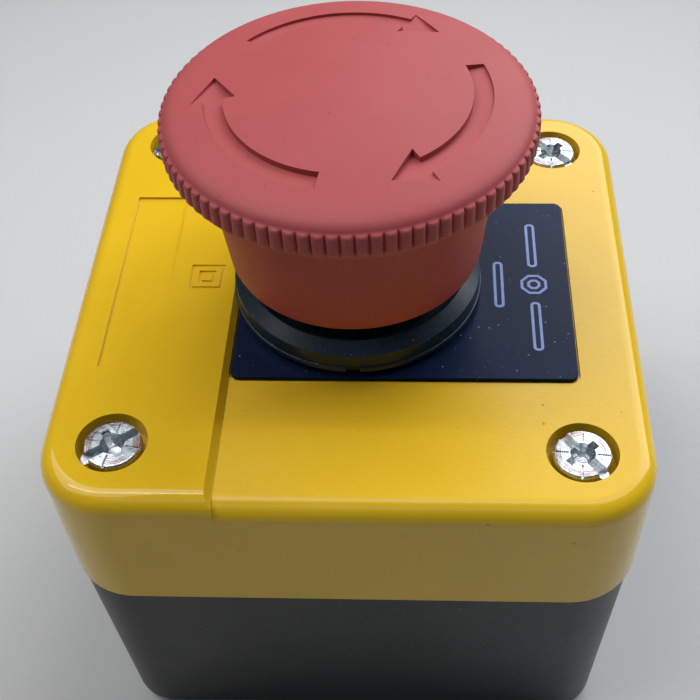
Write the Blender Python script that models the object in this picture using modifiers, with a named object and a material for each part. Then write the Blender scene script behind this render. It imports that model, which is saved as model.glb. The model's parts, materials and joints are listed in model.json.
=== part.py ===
"""Emergency stop station: a two-part box with a twist-to-release mushroom button.

Metres, +Z up along the button's axis. The origin is the middle of the box's back.
+X is the way up of the legend, so cables enter the box through its -X and +X sides.
"""
import math

import bmesh
import bpy

mm = 0.001

# Clearance that every resting, sliding or turning pair keeps
GAP = 0.3 * mm

# How far a cutting shape runs past the face that it opens
PAST = 5.0 * mm

# Box
BOX_SIDE = 68.0 * mm
BOX_CORNER = 8.6 * mm
COVER_HEIGHT = 18.2 * mm        # rim to main face
COVER_WALL = 2.4 * mm
COVER_ROOF = 2.6 * mm
COVER_EDGE = 1.7 * mm           # rounding round the top
STRIP_RISE = 0.95 * mm          # raised strip along the -X side
STRIP_GAP = 0.5 * mm            # bezel seal to that strip
FIELD_LENGTH = 29.4 * mm        # shallow field for a marking label
FIELD_WIDTH = 6.6 * mm
FIELD_INSET = 7.9 * mm          # side of the box to the middle of the field
FIELD_DEPTH = 0.3 * mm
BASE_HEIGHT = 33.4 * mm
BASE_INSET = 0.7 * mm           # base rim stands inside the cover's outline
BASE_DRAFT = 1.1 * mm           # base narrows by this on each side at the back
BASE_CORNER = 6.8 * mm
BASE_WALL = 3.2 * mm
BASE_FLOOR = 2.4 * mm
BASE_EDGE = 1.2 * mm
SEAL_CHANNEL = 1.6 * mm         # groove in the base rim, width and depth
FIXING_HOLE_RADIUS = 2.2 * mm
FIXING_HOLE_X = 15.0 * mm
FIXING_HOLE_INSET = 9.3 * mm    # base side to fixing hole
KNOCKOUT_RADIUS = 10.2 * mm
KNOCKOUT_GROOVE = 0.8 * mm
KNOCKOUT_DEPTH = 0.9 * mm

# Cover screws
SCREW_INSET = 8.3 * mm
SCREW_HEAD_RADIUS = 3.25 * mm
SCREW_HEAD_HEIGHT = 2.2 * mm
SCREW_SHANK_RADIUS = 1.9 * mm
SCREW_LENGTH = 26.0 * mm
SCREW_SINK = 0.1 * mm           # head top below the face around it
SCREW_DOME = 0.5 * mm
SCREW_RECESS_GAP = 0.72 * mm    # head to the wall of its recess
SCREW_BOSS_WALL = 2.8 * mm
SCREW_TIP_ROOM = 1.0 * mm       # bore below the screw's end
SCREW_POINT = 1.5 * mm
BOSS_OVERLAP = 0.2 * mm         # cover boss runs into the walls beside it
SLOT_WIDTH = 1.2 * mm
SLOT_DEPTH = 1.0 * mm
SLOT_TURNS = {"front_left": 35, "front_right": -50, "back_left": 20, "back_right": -46}   # degrees

# Operator, placed by its axis in the cover
AXIS_X = 0.3 * mm
AXIS_Y = -0.8 * mm
BARREL_RADIUS = 11.0 * mm       # fits the standard 22 mm cut-out
BARREL_WALL = 1.7 * mm
BARREL_LENGTH = 12.8 * mm       # below the flange
TUBE_RISE = 11.2 * mm           # guide tube above the bezel ring
RING_HEIGHT = 3.5 * mm
RING_GROOVE = 1.9 * mm
RING_GROOVE_DEPTH = 2.2 * mm
RING_BEVEL_WIDTH = 1.5 * mm
RING_BEVEL_DROP = 1.1 * mm
RING_WALL = 1.9 * mm
FLANGE_LIP = 0.2 * mm
FLANGE_THICKNESS = 0.6 * mm
BEZEL_SEAL_THICKNESS = 0.4 * mm
BEZEL_SEAL_INSET = 0.6 * mm     # seal stands inside the ring
KEY_HALF_WIDTH = 1.3 * mm       # anti-rotation key and its notch
KEY_HEIGHT = 1.6 * mm
KEY_ROOT = 0.8 * mm             # key starts inside the barrel wall
SEAT_DEPTH = 5.8 * mm           # spring seat below the flange
SEAT_THICKNESS = 1.5 * mm

# Legend plate
PLATE_LENGTH = 40.0 * mm
PLATE_WIDTH = 30.0 * mm
PLATE_THICKNESS = 0.5 * mm
PLATE_RECESS = 0.4 * mm
PLATE_END_WALL = 2.9 * mm       # hole to the plate's -X end
PLATE_CORNER = 1.0 * mm
PLATE_SEAT_GAP = 0.3 * mm

# Moving head
PRESS_TRAVEL = 3.0 * mm
LATCH_TRAVEL = 1.0 * mm
HEAD_RADIUS = 20.15 * mm
HEAD_HEIGHT = 21.6 * mm
BAND_HEIGHT = 3.3 * mm
CROWN_RISE = 2.8 * mm
CROWN_DOME = 1.9 * mm
SHOULDER_WIDTH = 2.65 * mm
RIB_COUNT = 88
RIB_DEPTH = 0.5 * mm
RIB_ROOT = 0.25 * mm            # ribs run into the head by this
RIB_INSET = 0.1 * mm            # ribs stop inside the band's edges
ARROW_INSET = 6.05 * mm         # head edge to the arrows' centre line
ARROW_SHAFT = 2.1 * mm
ARROW_HEAD = 4.8 * mm
ARROW_DEPTH = 0.6 * mm
ARROW_TIPS = (49.1, 169.1, 289.1)   # degrees
ARROW_SWEEP = 91.2
ARROW_POINT = 16.2
ARROW_LEAN = 0.4 * mm           # tip outside the arrow's centre line
NECK_CLEARANCE = 1.6 * mm       # guide tube to neck
NECK_WALL = 2.2 * mm
NECK_FLARE = 1.3 * mm
NECK_FLARE_HEIGHT = 2.2 * mm    # band to the end of the flare
LIP_WIDTH = 2.4 * mm            # least width under the band, outside the flare
LIP_SLOPE = 0.7 * mm
NECK_SEAL_GAP = 0.33 * mm
NECK_SEAL_DROP = 3.2 * mm       # guide tube top to the middle of the seal
HEAD_ROOF = 4.7 * mm
SOCKET_ROOF = 3.7 * mm
SOCKET_WALL = 3.0 * mm
STEM_RADIUS = 3.9 * mm
STEM_COLLAR = 2.0 * mm          # width of the stem's shoulder
STEM_COLLAR_HEIGHT = 2.2 * mm
STEM_TAIL = 1.1 * mm            # below the clip
SLEEVE_WALL = 1.8 * mm
COLLAR_RISE = 3.2 * mm          # bezel ring top to the sleeve's collar
COLLAR_THICKNESS = 2.0 * mm
TWIST_SPRING_SPACE = 4.0 * mm
TWIST_SPRING_WIRE = 0.4 * mm    # wire radius
TWIST_SPRING_TURNS = 3
TWIST_SPRING_INSET = 0.2 * mm   # stands inside the return spring's radius
RETURN_SPRING_WIRE = 0.45 * mm
RETURN_SPRING_TURNS = 5
PUSHER_THICKNESS = 2.6 * mm
PUSHER_GAP = 0.5 * mm           # to the barrel's bore
PIN_RADIUS = 0.9 * mm
PIN_DROP = 0.8 * mm             # pin axis below the collar's top
LATCH_WIRE = 0.25 * mm
CLIP_THICKNESS = 0.6 * mm
CLIP_WIDTH = 1.2 * mm           # outside the stem
CLIP_GROOVE = 0.7 * mm
CLIP_MOUTH = 4.8 * mm

# Fixing nut and contact carrier
NUT_HEIGHT = 4.0 * mm
NUT_WALL = 3.7 * mm
NUT_NOTCHES = 8
NUT_NOTCH_RADIUS = 1.8 * mm
NUT_NOTCH_OUT = 0.6 * mm        # notch axis outside the nut's rim
CARRIER_WALL = 3.5 * mm
CARRIER_CORNER = 3.0 * mm
LOCK_SCREW_RADIUS = 1.5 * mm
LOCK_SCREW_DROP = 2.2 * mm      # axis below the carrier's top
LOCK_SCREW_SINK = 0.2 * mm
LOCK_SLOT_WIDTH = 0.5 * mm
LOCK_SLOT_DEPTH = 0.6 * mm

# Contact blocks
BLOCK_LENGTH = 34.0 * mm
BLOCK_WIDTH = 10.0 * mm
BLOCK_SPACING = 15.0 * mm
BLOCK_HEIGHT = 24.2 * mm
BLOCK_WALL = 1.2 * mm
BLOCK_TOWER = 7.5 * mm
BLOCK_NOTCH = 3.7 * mm
BUTTON_RADIUS = 2.0 * mm
BRIDGE_HALF_LENGTH = 6.2 * mm
BRIDGE_HALF_WIDTH = 1.5 * mm
METAL = 0.8 * mm                # thickness of bridges, strips and clamps
RIVET_RADIUS = 1.0 * mm
RIVET_HEIGHT = 0.5 * mm
RIVET_X = 4.8 * mm
STRIP_HALF_WIDTH = 2.6 * mm
STRIP_RISE_IN_BLOCK = 3.9 * mm  # housing floor to the terminal end of a strip
OPEN_CONTACT_RISE = 1.0 * mm    # that end to the normally open contact
TERMINAL_X = 13.0 * mm
TERMINAL_SHANK = 1.4 * mm
TERMINAL_HEAD = 2.4 * mm
TERMINAL_TIP = 3.0 * mm         # shank above its strip
TERMINAL_SLOT_WIDTH = 0.7 * mm
TERMINAL_SLOT_DEPTH = 0.8 * mm
TERMINAL_FLOOR_GAP = 0.5 * mm
CLAMP_HALF_LENGTH = 2.4 * mm
STRIP_END = 2.5 * mm            # strip past its terminal's axis
STRIP_BEND = 3.0 * mm           # bridge end to the strip's bend
STRIP_START = 1.2 * mm          # button side to the strip's inner end
WIRE_WAY = 4.0 * mm             # side of the square wire entry
WIRE_WAY_DROP = 1.6 * mm        # below the strip
COVER_LAP = 0.1 * mm            # housing stops short of its side cover by GAP less this
BLOCK_ENTRY = 0.6 * mm          # pressed pusher reaches this far into a block's notch
BUTTON_COLLAR = 0.9 * mm
BUTTON_EDGE = 0.4 * mm
BUTTON_FOOT_RADIUS = 1.5 * mm
BUTTON_STOP_ROOM = 0.1 * mm
CONTACT_SPRING_RADIUS = 1.6 * mm
CONTACT_SPRING_WIRE = 0.22 * mm
CONTACT_SPRING_TURNS = 5

# Levels above the back of the box
rim_z = BASE_HEIGHT + GAP
face_z = rim_z + COVER_HEIGHT
plate_z = face_z - PLATE_RECESS + GAP
seal_z = plate_z + PLATE_THICKNESS + GAP
flange_z = seal_z + BEZEL_SEAL_THICKNESS + GAP
ring_z = flange_z + RING_HEIGHT
tube_z = ring_z + TUBE_RISE
barrel_z = flange_z - BARREL_LENGTH
seat_z = flange_z - SEAT_DEPTH
neck_z = ring_z + PRESS_TRAVEL + GAP
crown_z = neck_z + HEAD_HEIGHT
band_top_z = crown_z - CROWN_RISE
band_z = band_top_z - BAND_HEIGHT
collar_z = ring_z + COLLAR_RISE
collar_top_z = collar_z + COLLAR_THICKNESS
sleeve_z = collar_top_z + TWIST_SPRING_SPACE
stem_collar_z = sleeve_z + GAP
boss_z = stem_collar_z + STEM_COLLAR_HEIGHT + GAP
latch_z = collar_top_z - PIN_DROP
pusher_top_z = barrel_z - GAP
pusher_z = pusher_top_z - PUSHER_THICKNESS
clip_z = pusher_z - GAP - CLIP_THICKNESS
stem_z = clip_z - STEM_TAIL
nut_z = face_z - COVER_ROOF - GAP - NUT_HEIGHT
carrier_top_z = nut_z - GAP
block_top_z = pusher_z - PRESS_TRAVEL + BLOCK_ENTRY
carrier_z = block_top_z + GAP
block_z = block_top_z - BLOCK_HEIGHT
notch_z = block_top_z - BLOCK_NOTCH
block_roof_z = notch_z - BLOCK_WALL
block_floor_z = block_z + BLOCK_WALL
strip_z = block_floor_z + STRIP_RISE_IN_BLOCK
no_fixed_z = strip_z + OPEN_CONTACT_RISE
bridge_z = no_fixed_z + METAL + 2 * RIVET_HEIGHT + GAP + PRESS_TRAVEL
nc_fixed_z = bridge_z + METAL + 2 * RIVET_HEIGHT + GAP

# Radii and half widths that follow from the sizes above
box_half = BOX_SIDE / 2
base_half = box_half - BASE_INSET
screw_xy = box_half - SCREW_INSET
bore_radius = BARREL_RADIUS - BARREL_WALL
hole_radius = BARREL_RADIUS + GAP
groove_radius = BARREL_RADIUS + RING_GROOVE
ring_radius = groove_radius + RING_WALL
seal_radius = ring_radius - BEZEL_SEAL_INSET
strip_x = AXIS_X - seal_radius - STRIP_GAP
plate_near = hole_radius + PLATE_END_WALL
screw_recess_radius = SCREW_HEAD_RADIUS + SCREW_RECESS_GAP
neck_bore = BARREL_RADIUS + NECK_CLEARANCE
neck_radius = neck_bore + NECK_WALL
body_radius = HEAD_RADIUS - RIB_DEPTH - RIB_ROOT
neck_top = min(neck_radius + NECK_FLARE, body_radius - LIP_WIDTH)
arrow_radius = HEAD_RADIUS - ARROW_INSET
sleeve_bore = STEM_RADIUS + GAP
sleeve_radius = sleeve_bore + SLEEVE_WALL
slide_radius = bore_radius - GAP
carrier_half_y = hole_radius + CARRIER_WALL
lock_z = carrier_top_z - LOCK_SCREW_DROP
spring_radius = (sleeve_radius + slide_radius) / 2
housing_open_y = BLOCK_WIDTH / 2 - BLOCK_WALL - GAP + COVER_LAP


# modelling helpers

def collection(name):
    group = bpy.data.collections.new(name)
    bpy.context.scene.collection.children.link(group)
    return group


def add_object(name, data, at=(0, 0, 0)):
    piece = bpy.data.objects.new(name, data)
    piece.location = at
    parts.objects.link(piece)
    return piece


def finish_mesh(name, bm):
    mesh = bpy.data.meshes.new(name)
    bmesh.ops.recalc_face_normals(bm, faces=bm.faces)
    bm.to_mesh(mesh)
    bm.free()
    return mesh


def block(name, low, high, corner=0.0, top_edge=0.0, foot_inset=0.0, bottom_edge=0.0, at=(0, 0, 0)):
    """A box between two corners, with rounded uprights and, if asked, rounded ends and draft."""
    bm = bmesh.new()
    bmesh.ops.create_cube(bm, size=2.0)
    middle = [(a + b) / 2 for a, b in zip(low, high)]
    half = [(b - a) / 2 for a, b in zip(low, high)]
    for vert in bm.verts:
        inset = foot_inset if vert.co.z < 0 else 0.0
        vert.co.x = middle[0] + vert.co.x * (half[0] - inset)
        vert.co.y = middle[1] + vert.co.y * (half[1] - inset)
        vert.co.z = middle[2] + vert.co.z * half[2]
    if corner:
        uprights = [e for e in bm.edges if abs(e.verts[0].co.z - e.verts[1].co.z) > half[2]]
        bmesh.ops.bevel(bm, geom=uprights, offset=corner, segments=6, profile=0.5, affect='EDGES')
    for width, level in ((top_edge, high[2]), (bottom_edge, low[2])):
        if width:
            outline = [e for e in bm.edges if all(abs(v.co.z - level) < 1e-6 for v in e.verts)]
            bmesh.ops.bevel(bm, geom=outline, offset=width, segments=3, profile=0.5, affect='EDGES')
    return add_object(name, finish_mesh(name, bm), at)


def rod(name, radius, z_low, z_high, at=(0, 0), sides=24, along='Z'):
    """A round bar. Along X or Y, z_low and z_high are read on that axis and at holds the other two."""
    bm = bmesh.new()
    bmesh.ops.create_cone(bm, cap_ends=True, segments=sides, radius1=radius, radius2=radius,
                          depth=z_high - z_low)
    middle = (z_low + z_high) / 2
    piece = add_object(name, finish_mesh(name, bm))
    if along == 'X':
        piece.rotation_euler = (0, math.radians(90), 0)
        piece.location = (middle, at[0], at[1])
    elif along == 'Y':
        piece.rotation_euler = (math.radians(-90), 0, 0)
        piece.location = (at[0], middle, at[1])
    else:
        piece.location = (at[0], at[1], middle)
    return piece


def turned(name, profile, at=(AXIS_X, AXIS_Y), sides=40, closed=True):
    """A turned piece. The profile holds (radius, height) points, down the outside from the top."""
    bm = bmesh.new()
    verts = [bm.verts.new((radius, 0, height)) for radius, height in profile]
    for first, second in zip(verts, verts[1:]):
        bm.edges.new((first, second))
    if closed:
        bm.edges.new((verts[-1], verts[0]))
    mesh = bpy.data.meshes.new(name)
    bm.to_mesh(mesh)
    bm.free()
    piece = add_object(name, mesh, (at[0], at[1], 0))
    screw = piece.modifiers.new("Turn", 'SCREW')
    screw.steps = sides
    screw.render_steps = sides
    screw.use_merge_vertices = True
    screw.merge_threshold = 0.00001
    return piece


def ring(name, inner, outer, z_low, z_high, at=(AXIS_X, AXIS_Y), sides=40):
    profile = [(outer, z_high), (outer, z_low), (inner, z_low), (inner, z_high)]
    return turned(name, profile, at, sides)


def curve_mesh(name, curve):
    """The mesh of a curve, with its loose caps welded on."""
    source = bpy.data.objects.new(name, curve)
    parts.objects.link(source)
    bpy.context.view_layer.update()
    evaluated = source.evaluated_get(bpy.context.evaluated_depsgraph_get())
    mesh = bpy.data.meshes.new_from_object(evaluated)
    bpy.data.objects.remove(source)
    bm = bmesh.new()
    bm.from_mesh(mesh)
    bmesh.ops.remove_doubles(bm, verts=bm.verts, dist=0.000001)
    bmesh.ops.recalc_face_normals(bm, faces=bm.faces)
    bm.to_mesh(mesh)
    bm.free()
    return mesh


def flat_outline(name, points, z_low, z_high, at=(0, 0, 0)):
    """A closed flat outline with a thickness."""
    curve = bpy.data.curves.new(name, 'CURVE')
    curve.dimensions = '2D'
    curve.fill_mode = 'BOTH'
    curve.extrude = (z_high - z_low) / 2
    spline = curve.splines.new('POLY')
    spline.points.add(len(points) - 1)
    for point, (x, y) in zip(spline.points, points):
        point.co = (x, y, 0, 1)
    spline.use_cyclic_u = True
    middle = (z_low + z_high) / 2
    return add_object(name, curve_mesh(name, curve), (at[0], at[1], at[2] + middle))


def wire(name, points, radius, at=(0, 0, 0)):
    """A round wire through a list of points."""
    curve = bpy.data.curves.new(name, 'CURVE')
    curve.dimensions = '3D'
    curve.bevel_depth = radius
    curve.bevel_resolution = 2
    curve.use_fill_caps = True
    spline = curve.splines.new('POLY')
    spline.points.add(len(points) - 1)
    for point, place in zip(spline.points, points):
        point.co = (*place, 1)
    return add_object(name, curve_mesh(name, curve), at)


def coil(name, radius, wire_radius, z_low, z_high, turns, at, per_turn=12):
    """A helical spring whose wire ends lie just inside two levels."""
    count = int(turns * per_turn)
    rise = z_high - z_low - 2 * wire_radius
    points = []
    for step in range(count + 1):
        angle = 2 * math.pi * step / per_turn
        height = z_low + wire_radius + rise * step / count
        points.append((radius * math.cos(angle), radius * math.sin(angle), height))
    return wire(name, points, wire_radius, (at[0], at[1], 0))


def combine(piece, other, operation):
    """Cut with, or join on, another shape, which then leaves the model."""
    other.hide_render = True
    other.display_type = 'WIRE'
    parts.objects.unlink(other)
    cutters.objects.link(other)
    tool = piece.modifiers.new(operation.title(), 'BOOLEAN')
    tool.operation = operation
    tool.solver = 'EXACT'
    tool.object = other


def cut(piece, *others):
    for other in others:
        combine(piece, other, 'DIFFERENCE')


def join(piece, *others):
    for other in others:
        combine(piece, other, 'UNION')


def dress(piece, material, parent=None):
    """Give a finished piece its material and the empty that it moves with."""
    piece.data.materials.clear()
    piece.data.materials.append(material)
    if parent:
        bpy.context.view_layer.update()
        piece.parent = parent
        piece.matrix_parent_inverse = parent.matrix_world.inverted()
    return piece


def settle(piece, group_depsgraph):
    """Fix a piece's modifiers into its mesh and shade it smooth with sharp edges."""
    mesh = bpy.data.meshes.new_from_object(piece.evaluated_get(group_depsgraph))
    piece.modifiers.clear()
    piece.data = mesh
    mesh.shade_smooth()
    mesh.set_sharp_from_angle(angle=math.radians(32))


# finishes

def finish(name, color, roughness, metallic=0.0):
    material = bpy.data.materials.new(name)
    material.use_nodes = True
    shader = material.node_tree.nodes["Principled BSDF"]
    shader.inputs["Base Color"].default_value = (*color, 1)
    shader.inputs["Roughness"].default_value = roughness
    shader.inputs["Metallic"].default_value = metallic
    return material


def yellow_plastic():
    return finish("yellow_plastic", (0.84, 0.50, 0.02), 0.3)


def black_plastic():
    return finish("black_plastic", (0.02, 0.02, 0.022), 0.4)


def red_plastic():
    return finish("red_plastic", (0.55, 0.05, 0.045), 0.5)


def plate_laminate():
    return finish("plate_laminate", (0.012, 0.016, 0.03), 0.3)


def seal_rubber():
    return finish("seal_rubber", (0.03, 0.03, 0.03), 0.8)


def grey_plastic():
    return finish("grey_plastic", (0.32, 0.33, 0.34), 0.45)


def zinc_steel():
    return finish("zinc_steel", (0.75, 0.75, 0.76), 0.25, 1.0)


def spring_steel():
    return finish("spring_steel", (0.6, 0.6, 0.62), 0.3, 1.0)


def contact_brass():
    return finish("contact_brass", (0.72, 0.52, 0.2), 0.3, 1.0)


# box

def rim_channel():
    """The groove round the base rim that the gasket lies in."""
    outer = base_half - (BASE_WALL - SEAL_CHANNEL) / 2
    inner = outer - SEAL_CHANNEL
    corner = BASE_CORNER - (base_half - outer)
    channel = block("channel", (-outer, -outer, BASE_HEIGHT - SEAL_CHANNEL),
                    (outer, outer, BASE_HEIGHT + SEAL_CHANNEL), corner)
    core = block("channel_core", (-inner, -inner, BASE_HEIGHT - 2 * SEAL_CHANNEL),
                 (inner, inner, BASE_HEIGHT + 2 * SEAL_CHANNEL), corner - SEAL_CHANNEL)
    cut(channel, core)
    return channel


def corner_points():
    """The four screw positions, by name."""
    places = {}
    for depth, y in (("front", -screw_xy), ("back", screw_xy)):
        for side, x in (("left", -screw_xy), ("right", screw_xy)):
            places[depth + "_" + side] = (x, y)
    return places


def screw_top(place):
    """The level of a screw's head, just under the face that it stands in."""
    around = face_z + (STRIP_RISE if place[0] < strip_x else 0)
    return around - SCREW_SINK


def make_base():
    base = block("base_box", (-base_half, -base_half, 0), (base_half, base_half, BASE_HEIGHT),
                 BASE_CORNER, foot_inset=BASE_DRAFT, bottom_edge=BASE_EDGE)
    inner = base_half - BASE_WALL
    hollow = block("base_hollow", (-inner, -inner, BASE_FLOOR), (inner, inner, BASE_HEIGHT + PAST),
                   BASE_CORNER - BASE_WALL, foot_inset=BASE_DRAFT)
    boss_radius = SCREW_SHANK_RADIUS + GAP + SCREW_BOSS_WALL
    for name, place in corner_points().items():
        cut(hollow, rod("base_boss_" + name, boss_radius, 0, BASE_HEIGHT + 2 * PAST, place))
    cut(base, hollow, rim_channel())
    for name, place in corner_points().items():
        bore_end = screw_top(place) - SCREW_LENGTH - SCREW_TIP_ROOM
        cut(base, rod("base_bore_" + name, SCREW_SHANK_RADIUS + GAP, bore_end, BASE_HEIGHT + PAST, place))
    fixing_y = base_half - FIXING_HOLE_INSET
    for name, x, y in (("a", FIXING_HOLE_X, fixing_y), ("b", -FIXING_HOLE_X, -fixing_y)):
        cut(base, rod("fixing_hole_" + name, FIXING_HOLE_RADIUS, -PAST, BASE_FLOOR + PAST, (x, y)))
    for name, side in (("left", -1), ("right", 1)):
        cut(base, knockout(name, side))
    return dress(base, black)


def knockout(name, side):
    """The round groove that marks a cable entry on one side of the base."""
    wall_x = base_half - BASE_DRAFT / 2
    near, far = sorted((side * (wall_x - KNOCKOUT_DEPTH), side * (wall_x + PAST)))
    middle_z = BASE_HEIGHT / 2
    groove = rod("knockout_" + name, KNOCKOUT_RADIUS, near, far, (0, middle_z), 32, 'X')
    cut(groove, rod("knockout_core_" + name, KNOCKOUT_RADIUS - KNOCKOUT_GROOVE, near - PAST,
                    far + PAST, (0, middle_z), 32, 'X'))
    return groove


def make_gasket():
    """A square-section ring with clearance in the rim groove."""
    outer = base_half - (BASE_WALL - SEAL_CHANNEL) / 2 - GAP
    width = SEAL_CHANNEL - 2 * GAP
    corner = BASE_CORNER - (base_half - outer)
    gasket = block("cover_gasket", (-outer, -outer, BASE_HEIGHT - SEAL_CHANNEL + GAP),
                   (outer, outer, BASE_HEIGHT), corner)
    inner = outer - width
    cut(gasket, block("gasket_core", (-inner, -inner, 0), (inner, inner, BASE_HEIGHT + PAST),
                      corner - width))
    return dress(gasket, rubber)


def make_cover():
    cover = block("cover", (-box_half, -box_half, rim_z), (box_half, box_half, face_z),
                  BOX_CORNER, top_edge=COVER_EDGE)
    strip = block("strip", (-box_half, -box_half, rim_z + COVER_HEIGHT / 2),
                  (box_half, box_half, face_z + STRIP_RISE), BOX_CORNER, top_edge=COVER_EDGE)
    cut(strip, block("strip_trim", (strip_x, -box_half - PAST, 0),
                     (box_half + PAST, box_half + PAST, face_z + 2 * PAST)))
    join(cover, strip)

    inner = box_half - COVER_WALL
    hollow = block("cover_hollow", (-inner, -inner, rim_z - PAST), (inner, inner, face_z - COVER_ROOF),
                   BOX_CORNER - COVER_WALL)
    boss_radius = SCREW_INSET - COVER_WALL + BOSS_OVERLAP
    for name, place in corner_points().items():
        cut(hollow, rod("cover_boss_" + name, boss_radius, 0, face_z, place))
    cut(cover, hollow)

    for name, place in corner_points().items():
        head_seat = screw_top(place) - SCREW_HEAD_HEIGHT - GAP
        cut(cover, rod("screw_recess_" + name, screw_recess_radius, head_seat, face_z + PAST, place, 32))
        cut(cover, rod("screw_way_" + name, SCREW_SHANK_RADIUS + GAP, 0, face_z, place))

    field_x = FIELD_INSET - box_half
    top = face_z + STRIP_RISE
    cut(cover, block("label_field", (field_x - FIELD_WIDTH / 2, -FIELD_LENGTH / 2, top - FIELD_DEPTH),
                     (field_x + FIELD_WIDTH / 2, FIELD_LENGTH / 2, top + PAST)))
    cut(cover, plate_outline("plate_seat", face_z - PLATE_RECESS, face_z + PAST, PLATE_SEAT_GAP))
    cut(cover, rod("cut_out", hole_radius, 0, face_z + PAST, (AXIS_X, AXIS_Y), 40))
    cut(cover, key("cut_out_notch", GAP, 0, face_z + PAST))
    return dress(cover, yellow)


def make_cover_screw(name, place):
    """Pan head with one long slot and a short cross slot."""
    top = screw_top(place)
    seat = top - SCREW_HEAD_HEIGHT
    end = top - SCREW_LENGTH
    profile = [(0, top), (SCREW_HEAD_RADIUS * 0.6, top - SCREW_DOME * 0.3),
               (SCREW_HEAD_RADIUS, top - SCREW_DOME * 1.6), (SCREW_HEAD_RADIUS, seat),
               (SCREW_SHANK_RADIUS, seat), (SCREW_SHANK_RADIUS, end + SCREW_POINT),
               (SCREW_SHANK_RADIUS / 3, end), (0, end)]
    screw = turned("cover_screw_" + name, profile, place, 24, closed=False)
    half = SLOT_WIDTH / 2
    reach = SCREW_HEAD_RADIUS + PAST
    long_slot = block("slot_" + name, (-reach, -half, top - SLOT_DEPTH), (reach, half, top + PAST),
                      at=(place[0], place[1], 0))
    short = SCREW_HEAD_RADIUS * 0.55
    cross_slot = block("cross_" + name, (-half, -short, top - 1.3 * SLOT_DEPTH),
                       (half, short, top + PAST), at=(place[0], place[1], 0))
    turn = math.radians(SLOT_TURNS[name])
    long_slot.rotation_euler = (0, 0, turn)
    cross_slot.rotation_euler = (0, 0, turn)
    cut(screw, long_slot, cross_slot)
    return dress(screw, zinc)


# operator body

def key(name, clearance, z_low, z_high):
    """The anti-rotation key at the top of the cut-out, or its notch."""
    half = KEY_HALF_WIDTH + clearance
    return block(name, (BARREL_RADIUS - KEY_ROOT, -half, z_low),
                 (BARREL_RADIUS + KEY_HEIGHT + clearance, half, z_high), at=(AXIS_X, AXIS_Y, 0))


def plate_outline(name, z_low, z_high, margin=0.0):
    near = -plate_near - margin
    far = PLATE_LENGTH - plate_near + margin
    half = PLATE_WIDTH / 2 + margin
    return block(name, (near, -half, z_low), (far, half, z_high), PLATE_CORNER, at=(AXIS_X, AXIS_Y, 0))


def make_legend_plate():
    plate = plate_outline("legend_plate", plate_z, plate_z + PLATE_THICKNESS)
    cut(plate, rod("plate_hole", hole_radius, 0, ring_z, (AXIS_X, AXIS_Y), 40))
    cut(plate, key("plate_notch", GAP, 0, ring_z))
    return dress(plate, laminate)


def make_bezel():
    """One moulding: barrel through the cover, flange and ring outside, guide tube for the head."""
    seat_bore = sleeve_radius + GAP
    groove_z = ring_z - RING_GROOVE_DEPTH
    profile = [
        (BARREL_RADIUS, tube_z), (BARREL_RADIUS, groove_z), (groove_radius, groove_z),
        (groove_radius, ring_z), (ring_radius - RING_BEVEL_WIDTH, ring_z),
        (ring_radius, ring_z - RING_BEVEL_DROP),
        (ring_radius, flange_z + FLANGE_THICKNESS), (ring_radius + FLANGE_LIP, flange_z + FLANGE_THICKNESS),
        (ring_radius + FLANGE_LIP, flange_z), (BARREL_RADIUS, flange_z), (BARREL_RADIUS, barrel_z),
        (bore_radius, barrel_z), (bore_radius, seat_z - SEAT_THICKNESS),
        (seat_bore, seat_z - SEAT_THICKNESS), (seat_bore, seat_z), (bore_radius, seat_z),
        (bore_radius, tube_z)]
    bezel = turned("bezel", profile, sides=48)
    join(bezel, key("bezel_key", 0, face_z - COVER_ROOF + GAP, flange_z + FLANGE_THICKNESS / 2))
    cut(bezel, rod("pin_way", PIN_RADIUS + GAP, AXIS_X - ring_radius, AXIS_X + ring_radius,
                   (AXIS_Y, latch_z), 16, 'X'))
    return dress(bezel, black)


def make_bezel_seal():
    seal = ring("bezel_seal", hole_radius, seal_radius, seal_z, seal_z + BEZEL_SEAL_THICKNESS)
    cut(seal, key("seal_notch", GAP, 0, ring_z))
    return dress(seal, rubber)


def make_neck_seal():
    """A round rubber ring between the guide tube and the neck."""
    section = NECK_CLEARANCE / 2 - NECK_SEAL_GAP
    middle = BARREL_RADIUS + NECK_CLEARANCE / 2
    bpy.ops.mesh.primitive_torus_add(major_segments=32, minor_segments=6, major_radius=middle,
                                     minor_radius=section,
                                     location=(AXIS_X, AXIS_Y, tube_z - NECK_SEAL_DROP))
    seal = bpy.context.object
    seal.name = "neck_seal"
    for group in list(seal.users_collection):
        group.objects.unlink(seal)
    parts.objects.link(seal)
    return dress(seal, rubber)


def make_fixing_nut():
    outer = hole_radius + NUT_WALL
    nut = ring("fixing_nut", hole_radius, outer, nut_z, nut_z + NUT_HEIGHT)
    reach = outer + NUT_NOTCH_OUT
    for step in range(NUT_NOTCHES):
        angle = 2 * math.pi * (step + 0.5) / NUT_NOTCHES
        place = (AXIS_X + reach * math.cos(angle), AXIS_Y + reach * math.sin(angle))
        cut(nut, rod("nut_notch_%d" % step, NUT_NOTCH_RADIUS, 0, face_z, place, 12))
    return dress(nut, black)


def make_contact_carrier():
    """The frame that clips round the barrel and holds the contact blocks."""
    half_x = BLOCK_LENGTH / 2
    carrier = block("contact_carrier", (-half_x, -carrier_half_y, carrier_z),
                    (half_x, carrier_half_y, carrier_top_z), CARRIER_CORNER, at=(AXIS_X, AXIS_Y, 0))
    cut(carrier, rod("carrier_bore", hole_radius, 0, face_z, (AXIS_X, AXIS_Y), 40))
    cut(carrier, rod("lock_way", LOCK_SCREW_RADIUS + GAP, AXIS_Y - carrier_half_y - PAST, AXIS_Y,
                     (AXIS_X, lock_z), 16, 'Y'))
    return dress(carrier, grey)


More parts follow.
